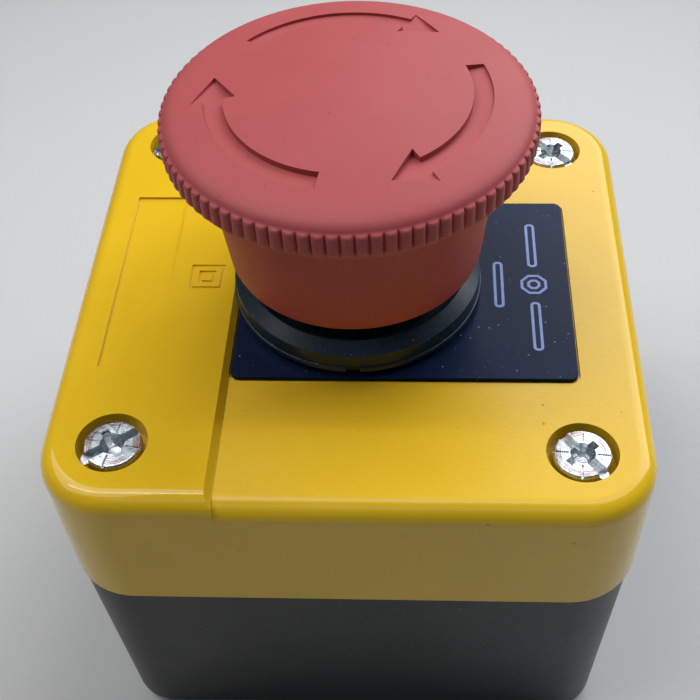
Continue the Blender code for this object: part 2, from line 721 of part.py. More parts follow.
def make_lock_screw():
    """A grub screw that holds the carrier on the barrel."""
    outer = AXIS_Y - carrier_half_y + LOCK_SCREW_SINK
    screw = rod("lock_screw", LOCK_SCREW_RADIUS, outer, AXIS_Y - hole_radius, (AXIS_X, lock_z), 16, 'Y')
    half = LOCK_SLOT_WIDTH / 2
    cut(screw, block("lock_slot", (-PAST, -PAST, -half), (PAST, LOCK_SLOT_DEPTH, half),
                     at=(AXIS_X, outer, lock_z)))
    return dress(screw, zinc)


# moving head

def arrow_points(tip):
    """A clockwise arrow that curves round the crown and ends in a point."""
    middle = arrow_radius
    tail = math.radians(tip + ARROW_SWEEP)
    joint = math.radians(tip + ARROW_POINT)
    point = math.radians(tip)
    steps = 10
    angles = [tail + (joint - tail) * step / steps for step in range(steps + 1)]
    outer = [(middle + ARROW_SHAFT / 2, angle) for angle in angles]
    inner = [(middle - ARROW_SHAFT / 2, angle) for angle in reversed(angles)]
    head = [(middle + ARROW_HEAD / 2, joint), (middle + ARROW_LEAN, point),
            (middle - ARROW_HEAD / 2, joint)]
    return [(r * math.cos(a), r * math.sin(a)) for r, a in outer + head + inner]


def rib_points():
    """The ribbed outline of the head's grip band."""
    points = []
    for step in range(2 * RIB_COUNT):
        radius = HEAD_RADIUS - (RIB_DEPTH if step % 2 else 0)
        angle = math.pi * step / RIB_COUNT
        points.append((radius * math.cos(angle), radius * math.sin(angle)))
    return points


def make_head():
    dome_radius = HEAD_RADIUS - SHOULDER_WIDTH
    dome_edge_z = crown_z - CROWN_DOME
    crown = [(dome_radius * step / 4, crown_z - CROWN_DOME * (step / 4) ** 2) for step in range(5)]
    shoulder = []
    for step in range(1, 5):
        angle = math.radians(90 * step / 4)
        shoulder.append((dome_radius + (body_radius - dome_radius) * math.sin(angle),
                         band_top_z + (dome_edge_z - band_top_z) * math.cos(angle)))
    under = [(body_radius, band_z), (neck_top + LIP_WIDTH / 2, band_z - LIP_SLOPE),
             (neck_top, band_z - NECK_FLARE_HEIGHT), (neck_radius, neck_z), (neck_bore, neck_z)]
    roof_z = crown_z - HEAD_ROOF
    boss_radius = sleeve_bore + SOCKET_WALL
    inside = [(neck_bore, roof_z), (boss_radius, roof_z), (boss_radius, boss_z), (sleeve_bore, boss_z),
              (sleeve_bore, crown_z - SOCKET_ROOF), (0, crown_z - SOCKET_ROOF)]
    head = turned("mushroom_head", crown + shoulder + under + inside, sides=48, closed=False)
    band = flat_outline("grip_band", rib_points(), band_z + RIB_INSET, band_top_z - RIB_INSET,
                        (AXIS_X, AXIS_Y, 0))
    cut(band, rod("grip_band_core", body_radius - BAND_HEIGHT / 2, 0, crown_z, (AXIS_X, AXIS_Y), 40))
    join(head, band)
    floor_z = crown_z - CROWN_DOME * (arrow_radius / dome_radius) ** 2 - ARROW_DEPTH
    for tip in ARROW_TIPS:
        cut(head, flat_outline("arrow_%d" % tip, arrow_points(tip), floor_z, crown_z + PAST,
                               (AXIS_X, AXIS_Y, 0)))
    return dress(head, red, knob)


def make_stem():
    """The spindle that carries the head through the sleeve."""
    collar = STEM_RADIUS + STEM_COLLAR
    groove = STEM_RADIUS - CLIP_GROOVE
    profile = [(0, crown_z - SOCKET_ROOF - GAP), (STEM_RADIUS, crown_z - SOCKET_ROOF - GAP),
               (STEM_RADIUS, boss_z - GAP), (collar, boss_z - GAP), (collar, stem_collar_z),
               (STEM_RADIUS, stem_collar_z), (STEM_RADIUS, clip_z + CLIP_THICKNESS + GAP),
               (groove, clip_z + CLIP_THICKNESS + GAP), (groove, clip_z - GAP), (STEM_RADIUS, clip_z - GAP),
               (STEM_RADIUS, stem_z), (0, stem_z)]
    return dress(turned("stem", profile, sides=32, closed=False), black, knob)


def make_retaining_clip():
    """A C-shaped clip in the stem's groove, under the sleeve."""
    clip = ring("retaining_clip", STEM_RADIUS - CLIP_GROOVE + GAP, STEM_RADIUS + CLIP_WIDTH, clip_z,
                clip_z + CLIP_THICKNESS, sides=32)
    cut(clip, block("clip_mouth", (0, -CLIP_MOUTH / 2, 0), (STEM_RADIUS + PAST, CLIP_MOUTH / 2, face_z),
                    at=(AXIS_X, AXIS_Y, 0)))
    return dress(clip, spring, knob)


def make_sleeve():
    """The sliding sleeve: its collar takes the return spring and the latch pins."""
    chamfer = LATCH_TRAVEL
    profile = [(sleeve_radius, sleeve_z), (sleeve_radius, collar_top_z),
               (slide_radius - chamfer, collar_top_z), (slide_radius, collar_top_z - chamfer),
               (slide_radius, collar_z), (sleeve_radius, collar_z), (sleeve_radius, pusher_z),
               (sleeve_bore, pusher_z), (sleeve_bore, sleeve_z)]
    return dress(turned("slide_sleeve", profile), grey, slider)


def make_pusher():
    """The disc at the sleeve's foot that works the contact blocks."""
    return dress(ring("pusher", sleeve_radius + GAP, bore_radius - PUSHER_GAP, pusher_z, pusher_top_z),
                 grey, slider)


def make_return_spring():
    return dress(coil("return_spring", spring_radius, RETURN_SPRING_WIRE, seat_z + GAP, collar_z - GAP,
                      RETURN_SPRING_TURNS, (AXIS_X, AXIS_Y)), spring)


def make_twist_spring():
    middle = spring_radius - TWIST_SPRING_INSET
    return dress(coil("twist_spring", middle, TWIST_SPRING_WIRE, collar_top_z + GAP, sleeve_z,
                      TWIST_SPRING_TURNS, (AXIS_X, AXIS_Y)), spring, slider)


def make_latch_pin(name, side, parent):
    inner = AXIS_X + side * bore_radius
    outer = AXIS_X + side * (BARREL_RADIUS + GAP)
    low, high = sorted((inner, outer))
    return dress(rod("latch_pin_" + name, PIN_RADIUS, low, high, (AXIS_Y, latch_z), 16, 'X'), zinc, parent)


def make_latch_spring():
    """An open wire ring that presses both latch pins inwards."""
    radius = BARREL_RADIUS + 3 * GAP
    points = []
    for step in range(25):
        angle = math.radians(105 + 330 * step / 24)
        points.append((radius * math.cos(angle), radius * math.sin(angle), latch_z))
    return dress(wire("latch_spring", points, LATCH_WIRE, (AXIS_X, AXIS_Y, 0)), spring)


# contact blocks

def block_axis(side):
    return (AXIS_X, AXIS_Y + side * BLOCK_SPACING / 2)


def block_box(name, side, x_range, out_range, z_range):
    """A box in a contact block. out_range counts from the block's axis, away from the other block."""
    low_y, high_y = sorted(side * value for value in out_range)
    x, y = block_axis(side)
    return block(name, (x_range[0], low_y, z_range[0]), (x_range[1], high_y, z_range[1]), at=(x, y, 0))


def make_housing(prefix, side):
    half_x = BLOCK_LENGTH / 2
    half_y = BLOCK_WIDTH / 2
    axis = block_axis(side)
    housing = block_box(prefix + "_housing", side, (-half_x, half_x), (-half_y, housing_open_y),
                        (block_z, block_top_z))
    cavity_x = half_x - BLOCK_WALL
    cut(housing, block_box(prefix + "_cavity", side, (-cavity_x, cavity_x),
                           (BLOCK_WALL - half_y, half_y + PAST), (block_floor_z, block_roof_z)))
    notch_x = half_x - BLOCK_TOWER
    cut(housing, block_box(prefix + "_notch", side, (-notch_x, notch_x),
                           (-half_y - PAST, half_y + PAST), (notch_z, block_top_z + PAST)))
    cut(housing, rod(prefix + "_button_way", BUTTON_RADIUS + GAP, block_roof_z - BLOCK_WALL,
                     notch_z + PAST, axis))
    for name, sign in (("left", -1), ("right", 1)):
        place = (axis[0] + sign * TERMINAL_X, axis[1])
        cut(housing, rod(prefix + "_screw_way_" + name, TERMINAL_HEAD + GAP, 0,
                         block_floor_z + BLOCK_WALL, place))
        near, far = sorted((sign * (cavity_x - BLOCK_WALL), sign * (half_x + PAST)))
        cut(housing, block_box(prefix + "_wire_way_" + name, side, (near, far),
                               (-WIRE_WAY / 2, WIRE_WAY / 2),
                               (strip_z - WIRE_WAY_DROP, strip_z - WIRE_WAY_DROP + WIRE_WAY)))
    return dress(housing, black)


def make_side_cover(prefix, side):
    """The plate that closes a housing's open side."""
    half_y = BLOCK_WIDTH / 2
    plate = block_box(prefix + "_side_cover", side, (-BLOCK_LENGTH / 2, BLOCK_LENGTH / 2),
                      (housing_open_y + GAP, half_y), (block_z, notch_z))
    return dress(plate, grey)


def make_button(prefix, side, material, parent):
    """The contact block's own plunger, under the pusher."""
    collar = BUTTON_RADIUS + BUTTON_COLLAR
    collar_high = block_roof_z - GAP
    collar_low = nc_fixed_z + METAL + PRESS_TRAVEL + BUTTON_STOP_ROOM
    foot = bridge_z + METAL + GAP
    top = pusher_z - GAP
    profile = [(0, top), (BUTTON_RADIUS - BUTTON_EDGE, top), (BUTTON_RADIUS, top - BUTTON_EDGE),
               (BUTTON_RADIUS, collar_high), (collar, collar_high), (collar, collar_low),
               (BUTTON_FOOT_RADIUS, collar_low), (BUTTON_FOOT_RADIUS, foot), (0, foot)]
    return dress(turned(prefix + "_button", profile, block_axis(side), 24, closed=False), material, parent)


def make_bridge(prefix, side, rivets_up, parent):
    """The moving contact bar, with a rivet at each end."""
    bridge = block_box(prefix + "_bridge", side, (-BRIDGE_HALF_LENGTH, BRIDGE_HALF_LENGTH),
                       (-BRIDGE_HALF_WIDTH, BRIDGE_HALF_WIDTH), (bridge_z, bridge_z + METAL))
    axis = block_axis(side)
    if rivets_up:
        low, high = bridge_z + METAL / 2, bridge_z + METAL + RIVET_HEIGHT
    else:
        low, high = bridge_z - RIVET_HEIGHT, bridge_z + METAL / 2
    for name, sign in (("left", -1), ("right", 1)):
        join(bridge, rod(prefix + "_bridge_rivet_" + name, RIVET_RADIUS, low, high,
                         (axis[0] + sign * RIVET_X, axis[1]), 12))
    return dress(bridge, brass, parent)


def make_fixed_contact(prefix, side, name, sign, fixed_z, rivet_up):
    """A bent strip from the terminal screw to the rivet that the bridge meets."""
    inner_x = BUTTON_RADIUS + STRIP_START
    bend_x = BRIDGE_HALF_LENGTH + STRIP_BEND
    end_x = TERMINAL_X + STRIP_END
    outline = [(inner_x, fixed_z), (bend_x, fixed_z), (bend_x, strip_z), (end_x, strip_z),
               (end_x, strip_z + METAL), (bend_x + METAL, strip_z + METAL),
               (bend_x + METAL, fixed_z + METAL), (inner_x, fixed_z + METAL)]
    axis = block_axis(side)
    strip = flat_outline(prefix + "_fixed_contact_" + name, [(sign * x, z) for x, z in outline],
                         -STRIP_HALF_WIDTH, STRIP_HALF_WIDTH)
    strip.rotation_euler = (math.radians(90), 0, 0)
    strip.location = (axis[0], axis[1], 0)
    if rivet_up:
        low, high = fixed_z + METAL / 2, fixed_z + METAL + RIVET_HEIGHT
    else:
        low, high = fixed_z - RIVET_HEIGHT, fixed_z + METAL / 2
    join(strip, rod(prefix + "_fixed_rivet_" + name, RIVET_RADIUS, low, high,
                    (axis[0] + sign * RIVET_X, axis[1]), 12))
    cut(strip, rod(prefix + "_strip_hole_" + name, TERMINAL_SHANK + GAP, strip_z - METAL,
                   strip_z + 2 * METAL, (axis[0] + sign * TERMINAL_X, axis[1]), 16))
    return dress(strip, brass)


def make_terminal(prefix, side, name, sign):
    """The square clamp and the screw that hold a wire under a strip."""
    axis = block_axis(side)
    place = (axis[0] + sign * TERMINAL_X, axis[1])
    clamp_top = strip_z - GAP
    clamp = block(prefix + "_clamp_" + name, (-CLAMP_HALF_LENGTH, -STRIP_HALF_WIDTH, clamp_top - METAL),
                  (CLAMP_HALF_LENGTH, STRIP_HALF_WIDTH, clamp_top), at=(place[0], place[1], 0))
    cut(clamp, rod(prefix + "_clamp_hole_" + name, TERMINAL_SHANK + GAP, 0, clamp_top + PAST, place, 16))
    dress(clamp, zinc)

    head_top = clamp_top - METAL - GAP
    head_low = block_floor_z + TERMINAL_FLOOR_GAP
    shank_top = strip_z + METAL + TERMINAL_TIP
    profile = [(0, shank_top), (TERMINAL_SHANK, shank_top), (TERMINAL_SHANK, head_top),
               (TERMINAL_HEAD, head_top), (TERMINAL_HEAD, head_low), (0, head_low)]
    screw = turned(prefix + "_terminal_screw_" + name, profile, place, 16, closed=False)
    half = TERMINAL_SLOT_WIDTH / 2
    cut(screw, block(prefix + "_terminal_slot_" + name, (-PAST, -half, head_low - PAST),
                     (PAST, half, head_low + TERMINAL_SLOT_DEPTH), at=(place[0], place[1], 0)))
    dress(screw, zinc)


def make_contact_block(prefix, side, normally_closed, button_material, parent):
    make_housing(prefix, side)
    make_side_cover(prefix, side)
    make_button(prefix, side, button_material, parent)
    make_bridge(prefix, side, normally_closed, parent)
    fixed_z = nc_fixed_z if normally_closed else no_fixed_z
    for name, sign in (("left", -1), ("right", 1)):
        make_fixed_contact(prefix, side, name, sign, fixed_z, not normally_closed)
        make_terminal(prefix, side, name, sign)
    dress(coil(prefix + "_contact_spring", CONTACT_SPRING_RADIUS, CONTACT_SPRING_WIRE, block_floor_z + GAP,
               bridge_z - GAP, CONTACT_SPRING_TURNS, block_axis(side), 10), spring)


# assembly

def empty(name, at):
    marker = bpy.data.objects.new(name, None)
    marker.location = at
    parts.objects.link(marker)
    return marker


for old in list(bpy.data.objects):
    bpy.data.objects.remove(old)

parts = collection("emergency_stop_station")
cutters = collection("cutters")

yellow = yellow_plastic()
black = black_plastic()
red = red_plastic()
laminate = plate_laminate()
rubber = seal_rubber()
grey = grey_plastic()
zinc = zinc_steel()
spring = spring_steel()
brass = contact_brass()

slider = empty("slider_axis", (AXIS_X, AXIS_Y, ring_z))
knob = empty("knob_axis", (AXIS_X, AXIS_Y, ring_z))
nc_axis = empty("nc_axis", (*block_axis(-1), block_top_z))
no_axis = empty("no_axis", (*block_axis(1), block_top_z))
latch_left_axis = empty("latch_left_axis", (AXIS_X - bore_radius, AXIS_Y, latch_z))
latch_right_axis = empty("latch_right_axis", (AXIS_X + bore_radius, AXIS_Y, latch_z))

make_base()
make_gasket()
make_cover()
for screw_name, screw_place in corner_points().items():
    make_cover_screw(screw_name, screw_place)

make_legend_plate()
make_bezel()
make_bezel_seal()
make_neck_seal()
make_fixing_nut()
make_contact_carrier()
make_lock_screw()

make_head()
make_stem()
make_retaining_clip()
make_sleeve()
make_pusher()
make_return_spring()
make_twist_spring()
make_latch_pin("left", -1, latch_left_axis)
make_latch_pin("right", 1, latch_right_axis)
make_latch_spring()

make_contact_block("nc", -1, True, red, nc_axis)
make_contact_block("no", 1, False, grey, no_axis)

bpy.context.view_layer.update()
depsgraph = bpy.context.evaluated_depsgraph_get()
pieces = [piece for piece in parts.objects if piece.type == 'MESH']
for piece in pieces:
    settle(piece, depsgraph)
for cutter in list(cutters.objects):
    bpy.data.objects.remove(cutter)
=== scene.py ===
import json
import math

import bmesh
import bpy
from mathutils import Matrix, Vector


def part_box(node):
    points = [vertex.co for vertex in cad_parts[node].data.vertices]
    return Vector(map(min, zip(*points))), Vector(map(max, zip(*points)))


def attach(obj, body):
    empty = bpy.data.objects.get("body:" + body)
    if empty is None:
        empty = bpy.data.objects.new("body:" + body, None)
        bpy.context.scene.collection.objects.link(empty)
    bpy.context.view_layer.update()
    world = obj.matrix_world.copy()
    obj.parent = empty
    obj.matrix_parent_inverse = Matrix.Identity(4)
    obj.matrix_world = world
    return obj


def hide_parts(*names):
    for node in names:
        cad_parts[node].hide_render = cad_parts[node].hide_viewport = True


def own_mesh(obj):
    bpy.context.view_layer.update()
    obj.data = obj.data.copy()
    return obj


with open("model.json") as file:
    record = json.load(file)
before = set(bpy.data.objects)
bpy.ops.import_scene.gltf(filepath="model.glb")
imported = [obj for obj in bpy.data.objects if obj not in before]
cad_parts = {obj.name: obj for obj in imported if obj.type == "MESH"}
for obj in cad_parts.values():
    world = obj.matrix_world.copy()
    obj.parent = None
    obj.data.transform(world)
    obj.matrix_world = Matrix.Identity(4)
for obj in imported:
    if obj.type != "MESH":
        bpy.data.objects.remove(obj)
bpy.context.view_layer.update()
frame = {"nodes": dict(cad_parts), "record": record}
mm = 0.001


def boxOf(node):
    low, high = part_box(node)
    return Vector(low), Vector(high)


coverLow, coverHigh = boxOf("cover")
baseLow, baseHigh = boxOf("base_box")
plateLow, plateHigh = boxOf("legend_plate")
bezelLow, bezelHigh = boxOf("bezel")
headLow, headHigh = boxOf("mushroom_head")

boxHalf = (coverHigh.x - coverLow.x) / 2
stripTop = coverHigh.z  # top of the raised strip on the left
axisX, axisY = ((headLow + headHigh) / 2).xy  # the button's axis
past = 5 * mm  # how far a cutter runs past the face it opens
boreSides, bossSides, holeSides = 32, 48, 96  # sides of round cutters, narrow to wide
screwNames = ["front_left", "front_right", "back_left", "back_right"]


def newObject(name, data):
    made = bpy.data.objects.new(name, data)
    bpy.context.scene.collection.objects.link(made)
    return made


# a new piece that rides on a body, in place of the nodes it replaces
def addPiece(name, mesh, material, body, replaced, place=None):
    piece = newObject(name, mesh)
    mesh.materials.clear()
    mesh.materials.append(material)
    if place:
        piece.matrix_world = place
    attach(piece, body)
    if replaced:
        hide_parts(*replaced)
    return piece


def closeMesh(name, bm):
    bmesh.ops.recalc_face_normals(bm, faces=bm.faces)
    mesh = bpy.data.meshes.new(name)
    bm.to_mesh(mesh)
    bm.free()
    return mesh


def roundRect(halfX, halfY, corner, steps=12, center=(0, 0)):
    points = []
    for cornerX, cornerY, start in ((1, 1, 0), (-1, 1, 90), (-1, -1, 180), (1, -1, 270)):
        for step in range(steps + 1):
            angle = math.radians(start + 90 * step / steps)
            points.append((center[0] + cornerX * (halfX - corner) + corner * math.cos(angle),
                           center[1] + cornerY * (halfY - corner) + corner * math.sin(angle)))
    return points


# joins equal rings of points into one skin, capped at both ends
def stackRings(name, rings):
    bm = bmesh.new()
    loops = [[bm.verts.new(point) for point in ringPoints] for ringPoints in rings]
    count = len(loops[0])
    for lower, upper in zip(loops, loops[1:]):
        for i in range(count):
            j = (i + 1) % count
            bm.faces.new((lower[i], lower[j], upper[j], upper[i]))
    bm.faces.new(list(reversed(loops[0])))
    bm.faces.new(loops[-1])
    return closeMesh(name, bm)


# a block with rounded uprights, drafted sides and rounded top and bottom outlines
def roundedBlock(name, half, zLow, zHigh, corner, topRound=0.0, footInset=0.0, bottomRound=0.0,
                 center=(0, 0), roundSteps=8):
    halfX, halfY = half
    leastCorner = 0.2 * mm
    levels = []
    if bottomRound:
        for step in range(roundSteps):
            angle = math.radians(90 * step / roundSteps)
            levels.append((zLow + bottomRound * (1 - math.cos(angle)),
                           bottomRound * (1 - math.sin(angle))))
        levels.append((zLow + bottomRound, 0.0))
    else:
        levels.append((zLow, 0.0))
    if topRound:
        levels.append((zHigh - topRound, 0.0))
        for step in range(1, roundSteps + 1):
            angle = math.radians(90 * step / roundSteps)
            levels.append((zHigh - topRound * (1 - math.sin(angle)),
                           topRound * (1 - math.cos(angle))))
    else:
        levels.append((zHigh, 0.0))
    rings = []
    for z, inset in levels:
        share = (zHigh - z) / (zHigh - zLow)
        inset += footInset * share
        cornerLeft = max(corner - inset, leastCorner)
        outline = roundRect(halfX - inset, halfY - inset, cornerLeft, center=center)
        rings.append([(x, y, z) for x, y in outline])
    return stackRings(name, rings)


def plainBlock(name, low, high):
    bm = bmesh.new()
    bmesh.ops.create_cube(bm, size=1.0)
    size = [b - a for a, b in zip(low, high)]
    middle = [(a + b) / 2 for a, b in zip(low, high)]
    bmesh.ops.scale(bm, vec=size, verts=bm.verts)
    bmesh.ops.translate(bm, vec=middle, verts=bm.verts)
    return closeMesh(name, bm)


def roundBar(name, radius, zLow, zHigh, center, sides=64, alongX=False):
    bm = bmesh.new()
    bmesh.ops.create_cone(bm, cap_ends=True, segments=sides, radius1=radius, radius2=radius,
                          depth=zHigh - zLow)
    if alongX:
        bmesh.ops.rotate(bm, matrix=Matrix.Rotation(math.radians(90), 3, "Y"), verts=bm.verts)
        bmesh.ops.translate(bm, vec=((zLow + zHigh) / 2, center[0], center[1]), verts=bm.verts)
    else:
        bmesh.ops.translate(bm, vec=(center[0], center[1], (zLow + zHigh) / 2), verts=bm.verts)
    return closeMesh(name, bm)


# turns a closed profile of (radius, height) about the vertical; shape may move each point
def lathe(name, profile, sides, center=None, shape=None):
    center = center or (axisX, axisY)
    bm = bmesh.new()
    columns = []
    for i in range(sides):
        angle = 2 * math.pi * i / sides
        column = []
        for radius, height in profile:
            r = shape(radius, height, angle) if shape else radius
            if radius <= 0:
                column.append(None)
            else:
                column.append(bm.verts.new((center[0] + r * math.cos(angle),
                                            center[1] + r * math.sin(angle), height)))
        columns.append(column)
    poles = {k: bm.verts.new((center[0], center[1], height))
             for k, (radius, height) in enumerate(profile) if radius <= 0}
    last = len(profile)
    for i in range(sides):
        here, there = columns[i], columns[(i + 1) % sides]
        for k in range(last):
            m = (k + 1) % last
            corners = [here[k] or poles[k], there[k] or poles[k],
                       there[m] or poles[m], here[m] or poles[m]]
            unique = []
            for vert in corners:
                if vert not in unique:
                    unique.append(vert)
            if len(unique) > 2:
                bm.faces.new(unique)
    return closeMesh(name, bm)


# points on part of a circle, from one angle in degrees to another
def arc(center, radius, start, end, steps=5):
    angles = [math.radians(start + (end - start) * i / steps) for i in range(steps + 1)]
    return [(center[0] + radius * math.cos(a), center[1] + radius * math.sin(a)) for a in angles]


# a flat outline with a thickness
def flatShape(name, points, zLow, zHigh):
    bm = bmesh.new()
    face = bm.faces.new([bm.verts.new((x, y, zLow)) for x, y in points])
    grown = bmesh.ops.extrude_face_region(bm, geom=[face])
    lifted = [item for item in grown["geom"] if isinstance(item, bmesh.types.BMVert)]
    bmesh.ops.translate(bm, vec=(0, 0, zHigh - zLow), verts=lifted)
    return closeMesh(name, bm)


# cuts or joins helper meshes, and leaves the result in the piece's own mesh
def combine(piece, tools, operation="DIFFERENCE"):
    helpers = [newObject("helper", tool) for tool in tools]
    for helper in helpers:
        step = piece.modifiers.new("combine", "BOOLEAN")
        step.operation = operation
        step.solver = "EXACT"
        step.object = helper
    bakeModifiers(piece)
    for helper in helpers:
        bpy.data.objects.remove(helper)


def bakeModifiers(piece):
    bpy.context.view_layer.update()
    evaluated = piece.evaluated_get(bpy.context.evaluated_depsgraph_get())
    mesh = bpy.data.meshes.new_from_object(evaluated)
    old = piece.data
    mesh.name = old.name
    piece.modifiers.clear()
    piece.data = mesh
    bpy.data.meshes.remove(old)


def takeMesh(helper):
    mesh = helper.data.copy()
    bpy.data.objects.remove(helper)
    return mesh


# a mesh with other meshes cut out of it, for use as a cutter itself
def carved(mesh, tools):
    helper = newObject("helper", mesh)
    combine(helper, tools)
    return takeMesh(helper)


# breaks sharp edges with a small round, and shades the piece so that its flats stay flat
def softenEdges(piece, width, segments=2, angle=35, smoothAngle=45):
    if width:
        bevel = piece.modifiers.new("edge rounds", "BEVEL")
        bevel.width = width
        bevel.segments = segments
        bevel.limit_method = "ANGLE"
        bevel.angle_limit = math.radians(angle)
        bevel.use_clamp_overlap = True
        bevel.miter_outer = "MITER_ARC"
        bakeModifiers(piece)
    piece.data.shade_smooth()
    piece.data.set_sharp_from_angle(angle=math.radians(smoothAngle))
    weights = piece.modifiers.new("flat faces", "WEIGHTED_NORMAL")
    weights.keep_sharp = True
    weights.weight = 100
    bakeModifiers(piece)


def newFinish(name, roughness=0.5, metallic=0.0, **inputs):
    material = bpy.data.materials.new(name)
    material.use_nodes = True
    shader = material.node_tree.nodes["Principled BSDF"]
    shader.inputs["Roughness"].default_value = roughness
    shader.inputs["Metallic"].default_value = metallic
    for label, value in inputs.items():
        shader.inputs[label.replace("_", " ")].default_value = value
    return material, material.node_tree, shader


def addNode(tree, kind, **settings):
    node = tree.nodes.new(kind)
    for key, value in settings.items():
        setattr(node, key, value)
    return node


# the place on the piece, stretched and turned for marks that run one way
def position(tree, stretch=None, turn=0.0):
    place = addNode(tree, "ShaderNodeTexCoord").outputs["Object"]
    if not stretch:
        return place
    mapping = addNode(tree, "ShaderNodeMapping")
    mapping.inputs["Rotation"].default_value = (0, 0, turn)
    mapping.inputs["Scale"].default_value = stretch
    tree.links.new(place, mapping.inputs["Vector"])
    return mapping.outputs["Vector"]


def noise(tree, scale, detail, roughness, stretch=None):
    node = addNode(tree, "ShaderNodeTexNoise")
    node.inputs["Scale"].default_value = scale
    node.inputs["Detail"].default_value = detail
    node.inputs["Roughness"].default_value = roughness
    tree.links.new(position(tree, stretch), node.inputs["Vector"])
    return node.outputs["Fac"]


def ramp(tree, source, stops):
    node = addNode(tree, "ShaderNodeValToRGB")
    elements = node.color_ramp.elements
    while len(elements) < len(stops):
        elements.new(0.5)
    for element, (place, color) in zip(elements, stops):
        element.position = place
        element.color = (*color, 1) if isinstance(color, tuple) else (color, color, color, 1)
    tree.links.new(source, node.inputs["Fac"])
    return node.outputs["Color"]


def calc(tree, operation, first, second=None, third=None):
    node = addNode(tree, "ShaderNodeMath", operation=operation)
    for socket, value in zip(node.inputs, (first, second, third)):
        if value is None:
            continue
        if isinstance(value, (int, float)):
            socket.default_value = value
        else:
            tree.links.new(value, socket)
    return node.outputs[0]


def blendColors(tree, factor, first, second):
    node = addNode(tree, "ShaderNodeMix", data_type="RGBA")
    for socket, value in ((node.inputs[0], factor), (node.inputs[6], first), (node.inputs[7], second)):
        if isinstance(value, (int, float)):
            socket.default_value = value
        elif isinstance(value, tuple):
            socket.default_value = (*value, 1)
        else:
            tree.links.new(value, socket)
    return node.outputs[2]


def bump(tree, shader, height, strength, distance):
    node = addNode(tree, "ShaderNodeBump")
    node.inputs["Strength"].default_value = strength
    node.inputs["Distance"].default_value = distance
    tree.links.new(height, node.inputs["Height"])
    tree.links.new(node.outputs["Normal"], shader.inputs["Normal"])


def axisValue(tree, letter):
    node = addNode(tree, "ShaderNodeSeparateXYZ")
    tree.links.new(position(tree), node.inputs[0])
    return node.outputs[letter]


def distanceFromAxis(tree):
    across, along = axisValue(tree, "X"), axisValue(tree, "Y")
    square = calc(tree, "ADD", calc(tree, "MULTIPLY", across, across),
                  calc(tree, "MULTIPLY", along, along))
    return calc(tree, "SQRT", square)


def smoothGate(tree, value, low, high):
    node = addNode(tree, "ShaderNodeMapRange", interpolation_type="SMOOTHSTEP")
    node.inputs["From Min"].default_value = low
    node.inputs["From Max"].default_value = high
    tree.links.new(value, node.inputs["Value"])
    return node.outputs[0]


# small round flecks: cells to a metre, share of the cells that hold one, and size within a cell
def flecks(tree, cells, share, size, stretch=None):
    scratchTurn = 0.6
    node = addNode(tree, "ShaderNodeTexVoronoi")
    node.inputs["Scale"].default_value = cells
    tree.links.new(position(tree, stretch, scratchTurn), node.inputs["Vector"])
    split = addNode(tree, "ShaderNodeSeparateColor")
    tree.links.new(node.outputs["Color"], split.inputs[0])
    near = calc(tree, "LESS_THAN", node.outputs["Distance"], size)
    return calc(tree, "MULTIPLY", near, calc(tree, "LESS_THAN", split.outputs[0], share))


def linkInput(tree, source, shader, label):
    tree.links.new(source, shader.inputs[label])


# lays one color over another where a mask is, at the mask's strength
def overlay(tree, color, mask, strength, mark):
    return blendColors(tree, calc(tree, "MULTIPLY", mask, strength), color, mark)


# roughness that drifts from low up to low + spread
def patchyRoughness(tree, shader, clouds, spread, low):
    linkInput(tree, calc(tree, "MULTIPLY_ADD", clouds, spread, low), shader, "Roughness")


coverShape = {
    "mainFaceDrop": 0.95 * mm,  # main face below the raised strip
    "stripWidth": 19.6 * mm,
    "stripSlope": 0.8 * mm,  # width of the strip's sloped side
    "corner": 8.6 * mm,
    "topRound": 2.3 * mm,
    "wall": 2.4 * mm,
    "roof": 2.6 * mm,
    "stripDepth": 9.0 * mm,  # how deep the strip's block is sunk into the main one
    "trimRise": 2.0 * mm,
    "trimDrop": 12.0 * mm,
    "edgeRound": 0.2 * mm,
    "fineRound": 0.07 * mm,  # edges of the label field and the mark
    "fieldSize": (6.6 * mm, 29.4 * mm),
    "fieldCenter": (-26.1 * mm, -0.1 * mm),
    "fieldDepth": 0.3 * mm,
    "markCenter": (-18.45 * mm, -0.15 * mm),
    "markHalf": 2.1 * mm,
    "markLine": 0.42 * mm,
    "markDepth": 0.22 * mm,
    "markInner": 0.5,  # inner square to outer square
    "screwInset": 8.3 * mm,
    "bossOverlap": 0.2 * mm,
    "recessRadius": 3.97 * mm,
    "underHead": 0.3 * mm,
    "screwWay": 2.2 * mm,
    "seatDepth": 0.4 * mm,  # legend plate's seat
    "seatGap": 0.25 * mm,
    "yellowLow": (0.77, 0.475, 0.016),
    "yellowHigh": (0.83, 0.525, 0.022),
    "darkFleck": (0.22, 0.12, 0.02),
    "paleScratch": (0.95, 0.80, 0.40),
    "grainFade": 0.3 * mm,  # over which the main face's grain starts beside the strip
    "grainHeight": 0.05 * mm,
}
faceZ = stripTop - coverShape["mainFaceDrop"]
stripEdge = coverLow.x + coverShape["stripWidth"]
screwReach = boxHalf - coverShape["screwInset"]
screwPlaces = {name: ((1 if "right" in name else -1) * screwReach,
                      (1 if "back" in name else -1) * screwReach) for name in screwNames}


